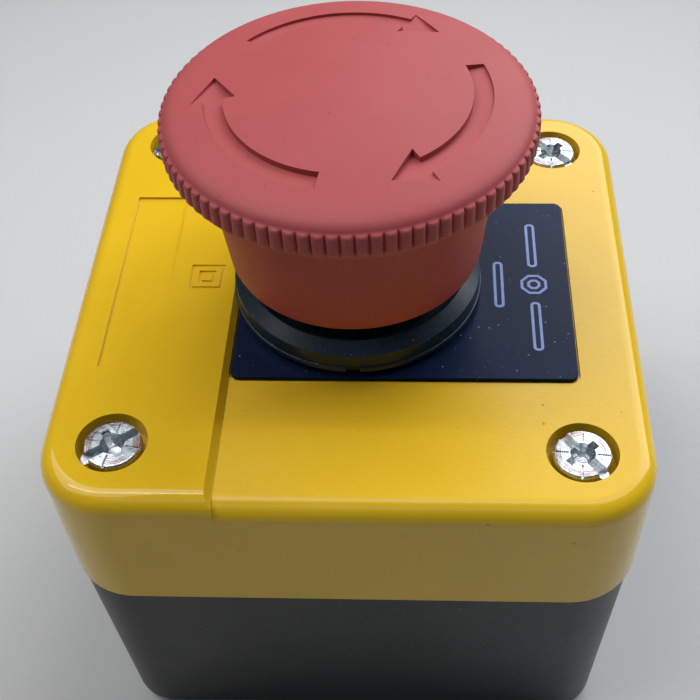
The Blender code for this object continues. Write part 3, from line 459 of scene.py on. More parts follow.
# glossy strip and sides, finely grained main face, with a few dark marks and pale scratches
def yellowPlastic():
    s = coverShape
    material, tree, shader = newFinish("yellowPlastic", 0.2, Specular_IOR_Level=0.42)
    color = ramp(tree, noise(tree, 45, 4, 0.55), [(0.3, s["yellowLow"]), (0.7, s["yellowHigh"])])
    color = overlay(tree, color, flecks(tree, 330, 0.22, 0.06), 0.6, s["darkFleck"])
    color = overlay(tree, color, flecks(tree, 520, 0.2, 0.08, (1, 4, 1)), 0.4, s["paleScratch"])
    linkInput(tree, color, shader, "Base Color")
    onMain = calc(tree, "MULTIPLY",
                  smoothGate(tree, axisValue(tree, "X"), stripEdge, stripEdge + s["grainFade"]),
                  smoothGate(tree, axisValue(tree, "Z"), faceZ - s["grainFade"], faceZ - 0.05 * mm))
    grain = calc(tree, "MULTIPLY", noise(tree, 2600, 2, 0.6),
                 calc(tree, "MULTIPLY_ADD", onMain, 1.0, 0.015))
    waves = calc(tree, "MULTIPLY", noise(tree, 160, 2, 0.5), 0.3)
    bump(tree, shader, calc(tree, "ADD", grain, waves), 0.25, s["grainHeight"])
    smears = calc(tree, "MULTIPLY_ADD", noise(tree, 70, 5, 0.6, stretch=(1, 2.2, 1)), 0.07, 0.02)
    patchyRoughness(tree, shader, onMain, 0.22, smears)
    return material


def makeCover():
    s = coverShape
    half = (boxHalf, boxHalf)
    mesh = roundedBlock("coverShell", half, coverLow.z, faceZ, s["corner"], s["topRound"])
    cover = addPiece("coverShell", mesh, yellowFinish, "enclosure", ["cover"])
    strip = roundedBlock("strip", half, faceZ - s["stripDepth"], stripTop, s["corner"], s["topRound"])
    combine(cover, [carved(strip, [stripTrim()])], "UNION")

    inner = boxHalf - s["wall"]
    hollow = roundedBlock("hollow", (inner, inner), coverLow.z - past, faceZ - s["roof"],
                          s["corner"] - s["wall"])
    bossRadius = s["screwInset"] - s["wall"] + s["bossOverlap"]
    bosses = [roundBar("boss", bossRadius, 0, faceZ, place, bossSides) for place in screwPlaces.values()]
    tools = [carved(hollow, bosses)]
    for name, place in screwPlaces.items():
        seatZ = boxOf("cover_screw_" + name)[1].z - screwShape["headHeight"] - s["underHead"]
        tools.append(roundBar("recess", s["recessRadius"], seatZ, stripTop + past, place, holeSides))
        tools.append(roundBar("way", s["screwWay"], 0, faceZ, place, boreSides))
    tools.append(roundedBlock("seat", plateHalf(s["seatGap"]), faceZ - s["seatDepth"], faceZ + past,
                              plateShape["corner"] + s["seatGap"], center=plateMiddle()))
    tools.append(roundBar("cutOut", bezelShape["holeRadius"], 0, faceZ + past, (axisX, axisY),
                          holeSides))
    combine(cover, tools)
    softenEdges(cover, s["edgeRound"], 3)
    fieldX, fieldY = s["fieldCenter"]
    fieldHalfX, fieldHalfY = s["fieldSize"][0] / 2, s["fieldSize"][1] / 2
    field = plainBlock("field", (fieldX - fieldHalfX, fieldY - fieldHalfY, stripTop - s["fieldDepth"]),
                       (fieldX + fieldHalfX, fieldY + fieldHalfY, stripTop + past))
    combine(cover, [field] + markRings())
    softenEdges(cover, s["fineRound"], 2)


# a prism along Y that leaves the strip with a sloped side
def stripTrim():
    s = coverShape
    lean = s["stripSlope"] / s["mainFaceDrop"]
    top, bottom = stripTop + s["trimRise"], faceZ - s["trimDrop"]
    outside = boxHalf + past
    outline = [(stripEdge - s["stripSlope"] / 2 - lean * s["trimRise"], top),
               (stripEdge + s["stripSlope"] / 2, faceZ), (stripEdge + s["stripSlope"] / 2, bottom),
               (outside, bottom), (outside, top)]
    rings = [[(x, y, z) for x, z in outline] for y in (-outside, outside)]
    return stackRings("trim", rings)


# two nested square grooves, the plain mark for double insulation
def markRings():
    s = coverShape
    rings = []
    middleX, middleY = s["markCenter"]
    low, high = stripTop - s["markDepth"], stripTop + past
    for outer in (s["markHalf"], s["markHalf"] * s["markInner"]):
        inner = outer - s["markLine"]
        ring = plainBlock("ring", (middleX - outer, middleY - outer, low),
                          (middleX + outer, middleY + outer, high))
        core = plainBlock("core", (middleX - inner, middleY - inner, low - past),
                          (middleX + inner, middleY + inner, high + past))
        rings.append(carved(ring, [core]))
    return rings


def plateHalf(margin=0.0):
    return ((plateHigh.x - plateLow.x) / 2 + margin, (plateHigh.y - plateLow.y) / 2 + margin)


def plateMiddle():
    return ((plateHigh.x + plateLow.x) / 2, (plateHigh.y + plateLow.y) / 2)


baseShape = {
    "corner": 6.8 * mm,
    "draft": 1.1 * mm,
    "wall": 3.2 * mm,
    "floor": 2.4 * mm,
    "bottomRound": 1.2 * mm,
    "channel": 1.6 * mm,
    "bossRadius": 5.0 * mm,
    "boreRadius": 2.2 * mm,
    "boreDepth": 9.5 * mm,  # above the back
    "fixingRadius": 2.2 * mm,
    "fixingPlace": (15.0 * mm, 24.0 * mm),
    "knockoutRadius": 10.2 * mm,
    "knockoutGroove": 0.8 * mm,
    "knockoutDepth": 0.7 * mm,
    "edgeRound": 0.2 * mm,
    "blackLow": (0.010, 0.010, 0.010),
    "blackHigh": (0.015, 0.015, 0.015),
    "dust": (0.30, 0.30, 0.31),
    "grainHeight": 0.05 * mm,
}


# satin moulding with dust and short upright scuffs
def blackPlastic():
    s = baseShape
    material, tree, shader = newFinish("blackPlastic", 0.36, Specular_IOR_Level=0.35)
    color = ramp(tree, noise(tree, 60, 4, 0.6), [(0.35, s["blackLow"]), (0.7, s["blackHigh"])])
    dust = calc(tree, "MAXIMUM", flecks(tree, 700, 0.5, 0.09), flecks(tree, 520, 0.3, 0.1, (1, 1, 5)))
    linkInput(tree, overlay(tree, color, dust, 0.35, s["dust"]), shader, "Base Color")
    patchyRoughness(tree, shader, noise(tree, 90, 5, 0.6), 0.2, 0.26)
    bump(tree, shader, noise(tree, 2600, 2, 0.6), 0.1, s["grainHeight"])
    return material


def makeBase():
    s = baseShape
    half = baseHigh.x
    mesh = roundedBlock("baseShell", (half, half), baseLow.z, baseHigh.z, s["corner"],
                        footInset=s["draft"], bottomRound=s["bottomRound"])
    base = addPiece("baseShell", mesh, blackFinish, "enclosure", ["base_box"])
    inner = half - s["wall"]
    top = baseHigh.z + past
    hollow = roundedBlock("hollow", (inner, inner), s["floor"], top, s["corner"] - s["wall"],
                          footInset=s["draft"])
    bosses = [roundBar("boss", s["bossRadius"], 0, top + past, place, bossSides)
              for place in screwPlaces.values()]
    outer = half - (s["wall"] - s["channel"]) / 2
    corner = s["corner"] - (half - outer)
    channel = roundedBlock("channel", (outer, outer), baseHigh.z - s["channel"], top, corner)
    inside = outer - s["channel"]
    core = roundedBlock("core", (inside, inside), 0, top + past, corner - s["channel"])
    tools = [carved(hollow, bosses), carved(channel, [core])]
    for place in screwPlaces.values():
        tools.append(roundBar("bore", s["boreRadius"], s["boreDepth"], top, place, boreSides))
    fixX, fixY = s["fixingPlace"]
    for place in ((fixX, fixY), (-fixX, -fixY)):
        tools.append(roundBar("fixing", s["fixingRadius"], -past, s["floor"] + past, place, boreSides))
    combine(base, tools)
    combine(base, [knockoutRing(side) for side in (-1, 1)])
    softenEdges(base, s["edgeRound"], 2)


# a round groove in a side wall, round the disc that knocks out for a cable
def knockoutRing(side):
    s = baseShape
    wallX = baseHigh.x - s["draft"] / 2
    near, far = sorted((side * (wallX - s["knockoutDepth"]), side * (wallX + past)))
    center = (0, baseHigh.z / 2)
    groove = roundBar("groove", s["knockoutRadius"], near, far, center, holeSides, alongX=True)
    core = roundBar("core", s["knockoutRadius"] - s["knockoutGroove"], near - past, far + past,
                    center, holeSides, alongX=True)
    return carved(groove, [core])


screwShape = {
    "headRadius": 3.25 * mm,
    "headHeight": 2.2 * mm,
    "domeDrop": 0.05 * mm,
    "rimRound": 0.4 * mm,
    "underRim": (0.2 * mm, 0.25 * mm),  # slope under the head, in and up
    "shankRadius": 1.9 * mm,
    "pointLength": 1.5 * mm,
    "pointRadius": 0.6 * mm,
    "slotWidth": 1.2 * mm,
    "slotDepth": 0.95 * mm,
    "bowlRadius": 1.4 * mm,
    "bowlDepth": 1.75 * mm,
    "bowlFlare": 0.6,
    "bowlFoot": 0.55,  # foot to mouth
    "bowlTip": 0.35 * mm,
    "armReach": 2.35 * mm,
    "armWidth": 1.05 * mm,
    "armTop": 0.4 * mm,
    "armDepth": 1.6 * mm,
    "armTaper": (0.5, 0.7),  # foot to mouth, along and across
    "tickWidth": 0.22 * mm,
    "tickDepth": 0.34 * mm,
    "tickStart": 1.55 * mm,
    # thin metal pushed out at one end of the slot: reach, height and breadth of three sections
    "burr": ((2.50 * mm, -0.75 * mm, 1.0), (3.35 * mm, -0.42 * mm, 1.15), (3.78 * mm, -0.62 * mm, 0.7)),
    "burrHalf": 0.46,  # half its breadth to the slot's width
    "burrTilt": 0.1 * mm,
    "burrThickness": 0.14 * mm,
    "edgeRound": 0.05 * mm,
    "turns": {"front_left": 35, "front_right": -50, "back_left": 20, "back_right": -46},
    "zincLow": (0.42, 0.47, 0.54),
    "zincHigh": (0.72, 0.78, 0.84),
    # colour of the painted reflection of the red head, laid as rings near the rim
    "paintedRedReflection": (0.30, 0.15, 0.12),
    # painted shade: duller grey deep in the slot and recess
    "recessPaintedShade": (0.50, 0.54, 0.56),
}


# bright zinc on a turned head: reddish rings near the rim that are a painted reflection of the red head,
# and painted shade as a duller grey deep in the recess
def screwSteel():
    s = screwShape
    material, tree, shader = newFinish("screwSteel", 0.25, 1.0)
    color = ramp(tree, noise(tree, 800, 4, 0.65), [(0.3, s["zincLow"]), (0.62, s["zincHigh"])])
    # painted reflection of the red head: a patchy reddish ring near the rim
    radius = calc(tree, "DIVIDE", distanceFromAxis(tree), s["headRadius"])
    wander = calc(tree, "MULTIPLY_ADD", noise(tree, 700, 3, 0.7), 0.26, -0.13)
    ring = ramp(tree, calc(tree, "ADD", radius, wander),
                [(0.70, 0.0), (0.76, 1.0), (0.81, 0.35), (0.86, 1.0), (0.93, 0.0)])
    patches = ramp(tree, noise(tree, 330, 2, 0.5), [(0.40, 0.0), (0.54, 0.9)])
    color = overlay(tree, color, ring, patches, s["paintedRedReflection"])
    # painted shade: the colour turns duller grey deeper in the slot and recess
    depth = smoothGate(tree, calc(tree, "MULTIPLY", axisValue(tree, "Z"), -1.0), 0.12 * mm, 0.9 * mm)
    color = blendColors(tree, depth, color, s["recessPaintedShade"])
    linkInput(tree, color, shader, "Base Color")
    patchyRoughness(tree, shader, noise(tree, 1500, 3, 0.6), 0.3, 0.14)
    wave = addNode(tree, "ShaderNodeTexWave", wave_type="RINGS", rings_direction="Z")
    wave.inputs["Scale"].default_value = 1400
    wave.inputs["Distortion"].default_value = 1.5
    tree.links.new(position(tree), wave.inputs["Vector"])
    rough = calc(tree, "MULTIPLY_ADD", wave.outputs["Fac"], 0.25, noise(tree, 1300, 4, 0.7))
    bump(tree, shader, rough, 0.6, 0.09 * mm)
    return material


def makeScrew(name):
    s = screwShape
    node = "cover_screw_" + name
    low, high = boxOf(node)
    length = high.z - low.z
    radius, seat = s["headRadius"], -s["headHeight"]
    slopeIn, slopeUp = s["underRim"]
    profile = [(0, 0), (radius - s["rimRound"], -s["domeDrop"])]
    profile += arc((radius - s["rimRound"], -s["domeDrop"] - s["rimRound"]), s["rimRound"], 75, 0, 4)
    profile += [(radius, seat + slopeUp), (radius - slopeIn, seat), (s["shankRadius"], seat),
                (s["shankRadius"], s["pointLength"] - length), (s["pointRadius"], -length),
                (0, -length)]
    screw = newObject("screw", lathe("screw", profile, holeSides, (0, 0)))
    combine(screw, screwCuts())
    combine(screw, [slotBurr()], "UNION")
    softenEdges(screw, s["edgeRound"], 2)
    turn = math.radians(s["turns"][name]) + (math.pi if s["turns"][name] > 0 else 0)
    place = (Matrix.Translation(((low.x + high.x) / 2, (low.y + high.y) / 2, high.z))
             @ Matrix.Rotation(turn, 4, "Z"))
    addPiece("screw_" + name, takeMesh(screw), screwFinish, "enclosure", [node], place)


# slot, bowl, cross arms and the four short ticks between them
def screwCuts():
    s = screwShape
    above = 1 * mm
    reach = s["headRadius"] + above
    halfSlot = s["slotWidth"] / 2
    flare = s["bowlRadius"] * above / s["bowlDepth"] * s["bowlFlare"]
    bowl = [(0, above), (s["bowlRadius"] + flare, above), (s["bowlRadius"], 0),
            (s["bowlRadius"] * s["bowlFoot"], -s["bowlDepth"]), (0, -s["bowlDepth"] - s["bowlTip"])]
    cuts = [plainBlock("slot", (-reach, -halfSlot, -s["slotDepth"]), (reach, halfSlot, above)),
            lathe("bowl", bowl, boreSides, (0, 0)), crossArm(0), crossArm(90)]
    for quarter in range(4):
        tick = plainBlock("tick", (s["tickStart"], -s["tickWidth"] / 2, -s["tickDepth"]),
                          (reach, s["tickWidth"] / 2, above))
        tick.transform(Matrix.Rotation(math.radians(45 + 90 * quarter), 4, "Z"))
        cuts.append(tick)
    return cuts


# a bar that narrows as it goes down, one arm pair of the cross recess
def crossArm(turn):
    s = screwShape
    bm = bmesh.new()
    bmesh.ops.create_cube(bm, size=2.0)
    for vert in bm.verts:
        deep = vert.co.z < 0
        taperAlong, taperAcross = s["armTaper"] if deep else (1.0, 1.0)
        vert.co.x *= s["armReach"] * taperAlong
        vert.co.y *= s["armWidth"] / 2 * taperAcross
        vert.co.z = -s["armDepth"] if deep else s["armTop"]
    bmesh.ops.rotate(bm, matrix=Matrix.Rotation(math.radians(turn), 3, "Z"), verts=bm.verts)
    return closeMesh("crossArm", bm)


def slotBurr():
    s = screwShape
    thick, tilt = s["burrThickness"], s["burrTilt"]
    rings = []
    for x, z, breadth in s["burr"]:
        half = s["slotWidth"] * s["burrHalf"] * breadth
        rings.append([(x, -half, z), (x, half, z - tilt),
                      (x, half, z - tilt - thick), (x, -half, z - thick)])
    return stackRings("burr", rings)


plateShape = {
    "corner": 1.0 * mm,
    "edgeRound": 0.1 * mm,
    "printRise": 0.02 * mm,
    "printSink": 0.05 * mm,
    "printShift": 0.1 * mm,  # print's middle beside the button's axis
    "printLine": 0.34 * mm,
    "signRadius": 1.75 * mm,
    "signInner": 0.5,  # inner octagon to outer octagon
    "signInset": 4.3 * mm,  # plate's right edge to the middle of the first row
    "rowPitch": 4.3 * mm,
    "barHalf": 0.62 * mm,
    "barCorner": 0.9,  # corner to half width
    "barEnds": (3.0 * mm, 10.8 * mm),
    "shortBar": 3.9 * mm,
    "laminateLow": (0.005, 0.013, 0.042),
    "laminateHigh": (0.007, 0.017, 0.052),
    "dust": (0.34, 0.36, 0.40),
    "grainHeight": 0.04 * mm,
    "inkLow": (0.17, 0.25, 0.60),
    "inkHigh": (0.24, 0.34, 0.72),
}


# dark laminate with dust and short fine scratches
def laminate():
    s = plateShape
    material, tree, shader = newFinish("legendLaminate", 0.3, Specular_IOR_Level=0.11)
    color = ramp(tree, noise(tree, 120, 3, 0.5), [(0.3, s["laminateLow"]), (0.7, s["laminateHigh"])])
    dust = calc(tree, "MAXIMUM", flecks(tree, 760, 0.8, 0.08), flecks(tree, 800, 0.3, 0.09, (1, 5, 1)))
    linkInput(tree, overlay(tree, color, dust, 0.6, s["dust"]), shader, "Base Color")
    patchyRoughness(tree, shader, noise(tree, 60, 4, 0.6), 0.12, 0.26)
    bump(tree, shader, noise(tree, 2400, 2, 0.6), 0.14, s["grainHeight"])
    return material


def printInk():
    s = plateShape
    material, tree, shader = newFinish("printInk", 0.4)
    color = ramp(tree, noise(tree, 900, 3, 0.6), [(0.3, s["inkLow"]), (0.7, s["inkHigh"])])
    linkInput(tree, color, shader, "Base Color")
    return material


def makePlate():
    s = plateShape
    mesh = roundedBlock("legendFace", plateHalf(), plateLow.z, plateHigh.z, s["corner"], s["edgeRound"],
                        center=plateMiddle(), roundSteps=3)
    plate = addPiece("legendFace", mesh, laminateFinish, "enclosure", ["legend_plate"])
    combine(plate, [roundBar("hole", bezelShape["holeRadius"], plateLow.z - past, plateHigh.z + past,
                             (axisX, axisY), holeSides)])
    softenEdges(plate, 0)


# the inner side of a closed outline drawn as a flat band of one width
def insetOutline(points, width):
    leastShare = 0.3  # keeps the sharpest corners from running away
    count = len(points)
    inner = []
    for i, (x, y) in enumerate(points):
        before, after = Vector(points[i - 1]), Vector(points[(i + 1) % count])
        here = Vector((x, y))
        a, b = (here - before).normalized(), (after - here).normalized()
        normal = Vector((-(a.y + b.y), a.x + b.x)).normalized()
        spread = width / max(normal.dot(Vector((-a.y, a.x))), leastShare)
        inner.append((x + normal.x * spread, y + normal.y * spread))
    return inner


def roundedBar(centerX, centerY, halfX, halfY):
    return roundRect(halfX, halfY, halfX * plateShape["barCorner"], 6, (centerX, centerY))


# a plain octagon between two long rounded bars, with a short bar in a second row
def makePrint():
    s = plateShape
    low, high = plateHigh.z - s["printSink"], plateHigh.z + s["printRise"]
    rowX = plateHigh.x - s["signInset"]
    middleY = axisY + s["printShift"]
    bm = bmesh.new()
    for radius in (s["signRadius"], s["signRadius"] * s["signInner"]):
        corners = [math.radians(22.5 + 45 * i) for i in range(8)]
        octagon = [(rowX + radius * math.cos(a), middleY + radius * math.sin(a)) for a in corners]
        addBand(bm, octagon, low, high)
    start, end = s["barEnds"]
    for sign in (-1, 1):
        barY = middleY + sign * (start + end) / 2
        addBand(bm, roundedBar(rowX, barY, s["barHalf"], (end - start) / 2), low, high)
    addBand(bm, roundedBar(rowX - s["rowPitch"], middleY, s["barHalf"], s["shortBar"]), low, high)
    addPiece("legendPrint", closeMesh("legendPrint", bm), inkFinish, "enclosure", ())


def addBand(bm, outer, low, high):
    inner = insetOutline(outer, plateShape["printLine"])
    count = len(outer)
    rings = [[bm.verts.new((x, y, z)) for x, y in points] for points, z in
             ((outer, low), (outer, high), (inner, high), (inner, low))]
    for first, second in zip(rings, rings[1:] + rings[:1]):
        for i in range(count):
            j = (i + 1) % count
            bm.faces.new((first[i], first[j], second[j], second[i]))


bezelShape = {
    "holeRadius": 11.3 * mm,
    "barrelRadius": 11.0 * mm,
    "boreRadius": 9.3 * mm,
    "ringRadius": 14.8 * mm,
    "grooveRadius": 12.9 * mm,
    "bevelWidth": 1.5 * mm,
    "bevelDrop": 1.1 * mm,
    "flangeRadius": 15.0 * mm,
    "flangeThickness": 0.6 * mm,
    "ringHeight": 3.5 * mm,
    "grooveDepth": 2.2 * mm,
    "seatDepth": 5.8 * mm,
    "seatThickness": 1.5 * mm,
    "seatBore": 6.3 * mm,
    "barrelLength": 12.8 * mm,
    "tubeRound": 0.35 * mm,
    "edgeRound": 0.12 * mm,
    "pinWay": 1.2 * mm,
    "pinWaySides": 24,
    "notchHalf": 0.8 * mm,
    "notchDepth": 0.3 * mm,
    "notchTop": 0.9 * mm,  # above the flange's underside
    "bezelLow": (0.007, 0.020, 0.034),
    "bezelHigh": (0.013, 0.036, 0.060),
    "dust": (0.40, 0.42, 0.42),
    "grainHeight": 0.05 * mm,
}


# satin moulding with a fine sparkle in its grain
def bezelPlastic():
    s = bezelShape
    material, tree, shader = newFinish("bezelPlastic", 0.34, Specular_IOR_Level=0.38)
    color = ramp(tree, noise(tree, 2200, 2, 0.5), [(0.35, s["bezelLow"]), (0.7, s["bezelHigh"])])
    dust = calc(tree, "MAXIMUM", flecks(tree, 700, 0.5, 0.07), flecks(tree, 600, 0.2, 0.08, (1, 4, 1)))
    linkInput(tree, overlay(tree, color, dust, 0.5, s["dust"]), shader, "Base Color")
    patchyRoughness(tree, shader, noise(tree, 140, 4, 0.6), 0.14, 0.27)
    bump(tree, shader, noise(tree, 3200, 2, 0.7), 0.3, s["grainHeight"])
    return material


def makeBezel():
    s = bezelShape
    flangeZ = bezelLow.z + s["barrelLength"]
    ringZ = flangeZ + s["ringHeight"]
    tubeZ = bezelHigh.z
    seatZ = flangeZ - s["seatDepth"]
    rim, small = s["tubeRound"], s["edgeRound"]
    barrel, bore, ring = s["barrelRadius"], s["boreRadius"], s["ringRadius"]
    grooveZ = ringZ - s["grooveDepth"]
    bevelFoot = ringZ - s["bevelDrop"]
    flangeTop = flangeZ + s["flangeThickness"]
    seatFoot = seatZ - s["seatThickness"]
    profile = [(bore + rim, tubeZ)]
    profile += arc((barrel - rim, tubeZ - rim), rim, 90, 0)
    profile += [(barrel, grooveZ), (s["grooveRadius"], grooveZ)]
    profile += arc((s["grooveRadius"] + small, ringZ - small), small, 180, 90, 3)
    profile += [(ring - s["bevelWidth"], ringZ), (ring - small * 2, bevelFoot + small * 0.9),
                (ring - small * 0.5, bevelFoot - small * 0.3), (ring, bevelFoot - small * 2),
                (ring, flangeTop + small)]
    profile += arc((s["flangeRadius"] - small, flangeTop - small), small, 90, 0, 3)
    profile += [(s["flangeRadius"], flangeZ), (barrel, flangeZ), (barrel, bezelLow.z),
                (bore, bezelLow.z), (bore, seatFoot), (s["seatBore"], seatFoot),
                (s["seatBore"], seatZ), (bore, seatZ), (bore, tubeZ - rim)]
    bezel = addPiece("bezelBody", lathe("bezelBody", profile, 2 * holeSides), bezelFinish, "enclosure",
                     ["bezel"])
    pinLow, pinHigh = boxOf("latch_pin_left")
    pinWay = roundBar("pinWay", s["pinWay"], axisX - ring, axisX + ring,
                      (axisY, (pinLow.z + pinHigh.z) / 2), s["pinWaySides"], alongX=True)
    half, front = s["notchHalf"], axisY - ring
    notch = plainBlock("notch", (axisX - half, front - past, flangeZ - 1 * mm),
                       (axisX + half, front + s["notchDepth"], flangeZ + s["notchTop"]))
    combine(bezel, [pinWay, notch])
    softenEdges(bezel, 0, smoothAngle=30)


headShape = {
    "crownDome": 1.75 * mm,
    "domeRadius": 17.6 * mm,
    "shoulderRadius": 19.65 * mm,
    "crownRise": 2.8 * mm,
    "bandHeight": 3.3 * mm,
    "shoulderRound": 1.25 * mm,  # pull of the dome's edge on the shoulder's curve
    "shoulderPull": (-0.25 * mm, 0.55 * mm),  # pull of the band's top on the same curve
    "ribCount": 88,
    "ribSides": 10,
    "ribHeight": 0.5 * mm,
    "ribTop": 0.45 * mm,  # length over which a rib's upper end rounds off
    "ribFoot": 0.4 * mm,  # the same at its lower end
    "ribGap": 0.1 * mm,  # between the shoulder and the ribs
    "ribStart": 0.15 * mm,
    "ribMiddle": 1.4 * mm,
    "ribLevels": (0.5 * mm, 0.3 * mm, 0.15 * mm, 0.05 * mm),  # above the ribs' foot
    "lipHeight": 0.42 * mm,
    "lipProud": 0.05 * mm,
    # outside the lip, and above the band's foot
    "lipCurve": ((0, 0.18 * mm), (-0.12 * mm, 0), (-0.6 * mm, -0.15 * mm)),
    # outside the neck's flare, and above the band's foot
    "flareCurve": ((1.4 * mm, -0.5 * mm), (0.5 * mm, -0.85 * mm), (0.1 * mm, -1.3 * mm)),
    "neckRadius": 14.8 * mm,
    "neckBore": 12.6 * mm,
    "neckFlare": 1.3 * mm,
    "flareDrop": 2.2 * mm,
    "neckFoot": 0.4 * mm,
    "roof": 4.7 * mm,
    "socketRadius": 4.2 * mm,
    "socketRoof": 3.7 * mm,
    "bossRadius": 7.2 * mm,
    "bossDrop": 8.7 * mm,  # boss end above the neck's rim
    "arrowRadius": 14.1 * mm,
    "arrowShaft": 2.1 * mm,
    "arrowHead": 4.8 * mm,
    "arrowLean": 0.5 * mm,
    "arrowDepth": 0.5 * mm,
    "arrowTips": (49.1, 169.1, 289.1),
    "arrowSweep": 91.2,
    "arrowPoint": 16.2,
    "redLow": (0.42, 0.080, 0.082),
    "redHigh": (0.46, 0.092, 0.095),
    "redDirt": (0.16, 0.02, 0.015),
    "grainHeight": 0.05 * mm,
}
bandRadius = headShape["shoulderRadius"] + 0.001 * mm  # marks the points that form ribs


# matt moulded red with a faint bloom and a few specks of dirt
def redPlastic():
    s = headShape
    material, tree, shader = newFinish("redPlastic", 0.48, Specular_IOR_Level=0.24)
    color = ramp(tree, noise(tree, 55, 4, 0.6), [(0.3, s["redLow"]), (0.7, s["redHigh"])])
    color = overlay(tree, color, flecks(tree, 520, 0.3, 0.08), 0.4, s["redDirt"])
    linkInput(tree, color, shader, "Base Color")
    patchyRoughness(tree, shader, noise(tree, 130, 5, 0.6), 0.14, 0.44)
    bump(tree, shader, noise(tree, 1700, 3, 0.65), 0.22, s["grainHeight"])
    return material


def domeZ(radius):
    s = headShape
    return headHigh.z - s["crownDome"] * (radius / s["domeRadius"]) ** 2


# point at t on a curve from start to end that leaves towards the first handle
def curvePoint(start, first, second, end, t):
    point = ((1 - t) ** 3 * start + 3 * (1 - t) ** 2 * t * first
             + 3 * (1 - t) * t * t * second + t ** 3 * end)
    return point.x, point.y


# the head's section: dome, shoulder, grip band, lip, neck and the hollow inside
def headProfile(bandTop, bandLow):
    s = headShape
    top, low = headHigh.z, headLow.z
    points = [(s["domeRadius"] * i / 14, domeZ(s["domeRadius"] * i / 14)) for i in range(15)]
    start = Vector((s["domeRadius"], domeZ(s["domeRadius"])))
    slope = -2 * s["crownDome"] / s["domeRadius"]
    end = Vector((s["shoulderRadius"], bandTop - s["ribGap"]))
    first = start + Vector((s["shoulderRound"], s["shoulderRound"] * slope))
    second = end + Vector(s["shoulderPull"])
    points += [curvePoint(start, first, second, end, i / 8) for i in range(1, 9)]

    ribLow = bandLow + s["lipHeight"]
    levels = [bandTop - s["ribStart"] - s["ribTop"] * i / 5 for i in range(6)]
    levels += [bandTop - s["ribMiddle"]] + [ribLow + rise for rise in s["ribLevels"]]
    points += [(bandRadius, z) for z in levels]
    lip = s["shoulderRadius"] + s["lipProud"]
    points += [(lip, ribLow)] + [(lip + out, bandLow + rise) for out, rise in s["lipCurve"]]
    neckTop = s["neckRadius"] + s["neckFlare"]
    flareEnd = bandLow - s["flareDrop"]
    points += [(neckTop + out, bandLow + rise) for out, rise in s["flareCurve"]]
    foot = low + s["neckFoot"]
    for i in range(7):
        t = i / 6
        points.append((neckTop + (s["neckRadius"] - neckTop) * t, flareEnd + (foot - flareEnd) * t))
    points += [(s["neckRadius"] - 0.1 * mm, low + 0.12 * mm), (s["neckRadius"] - 0.4 * mm, low),
               (s["neckBore"] + 0.2 * mm, low), (s["neckBore"], low + 0.2 * mm)]
    roofZ = top - s["roof"]
    bossZ = low + s["bossDrop"]
    socketZ = top - s["socketRoof"]
    points += [(s["neckBore"], roofZ), (s["bossRadius"], roofZ), (s["bossRadius"], bossZ),
               (s["socketRadius"], bossZ), (s["socketRadius"], socketZ), (0, socketZ)]
    return points


# how far each point of the grip band moves out to form the round ribs
def ribShape(bandTop, bandLow):
    s = headShape
    ribLow = bandLow + s["lipHeight"]

    def move(radius, height, angle):
        if abs(radius - bandRadius) > 0.0005 * mm:
            return radius
        phase = (angle * s["ribCount"] / (2 * math.pi)) % 1.0
        across = abs(2 * phase - 1)  # 0 at the rib's middle, 1 in the groove
        rise = (1 - across ** 2.6) ** 0.75
        fromTop = min(1.0, max(0.0, (bandTop - s["ribGap"] - height) / s["ribTop"]))
        fromLow = min(1.0, max(0.0, (height - ribLow) / s["ribFoot"]))
        return radius + s["ribHeight"] * rise * math.sqrt(fromTop * (2 - fromTop)) * math.sqrt(fromLow)
    return move


def arrowOutline(tip):
    s = headShape
    tail, joint, point = (math.radians(tip + turn) for turn in (s["arrowSweep"], s["arrowPoint"], 0))
    steps = 40
    angles = [tail + (joint - tail) * i / steps for i in range(steps + 1)]
    middle = s["arrowRadius"]
    outer = [(middle + s["arrowShaft"] / 2, a) for a in angles]
    inner = [(middle - s["arrowShaft"] / 2, a) for a in reversed(angles)]
    head = [(middle + s["arrowHead"] / 2, joint), (middle + s["arrowLean"], point),
            (middle - s["arrowHead"] / 2, joint)]
    return [(axisX + r * math.cos(a), axisY + r * math.sin(a)) for r, a in outer + head + inner]


def makeHead():
    s = headShape
    bandTop = headHigh.z - s["crownRise"]
    bandLow = bandTop - s["bandHeight"]
    mesh = lathe("mushroomCap", headProfile(bandTop, bandLow), s["ribCount"] * s["ribSides"],
                 shape=ribShape(bandTop, bandLow))
    head = addPiece("mushroomCap", mesh, redFinish, "knob", ["mushroom_head"])
    floorZ = domeZ(s["arrowRadius"]) - s["arrowDepth"]
    combine(head, [flatShape("arrow", arrowOutline(tip), floorZ, headHigh.z + past)
                   for tip in s["arrowTips"]])
    softenEdges(head, 0, smoothAngle=50)


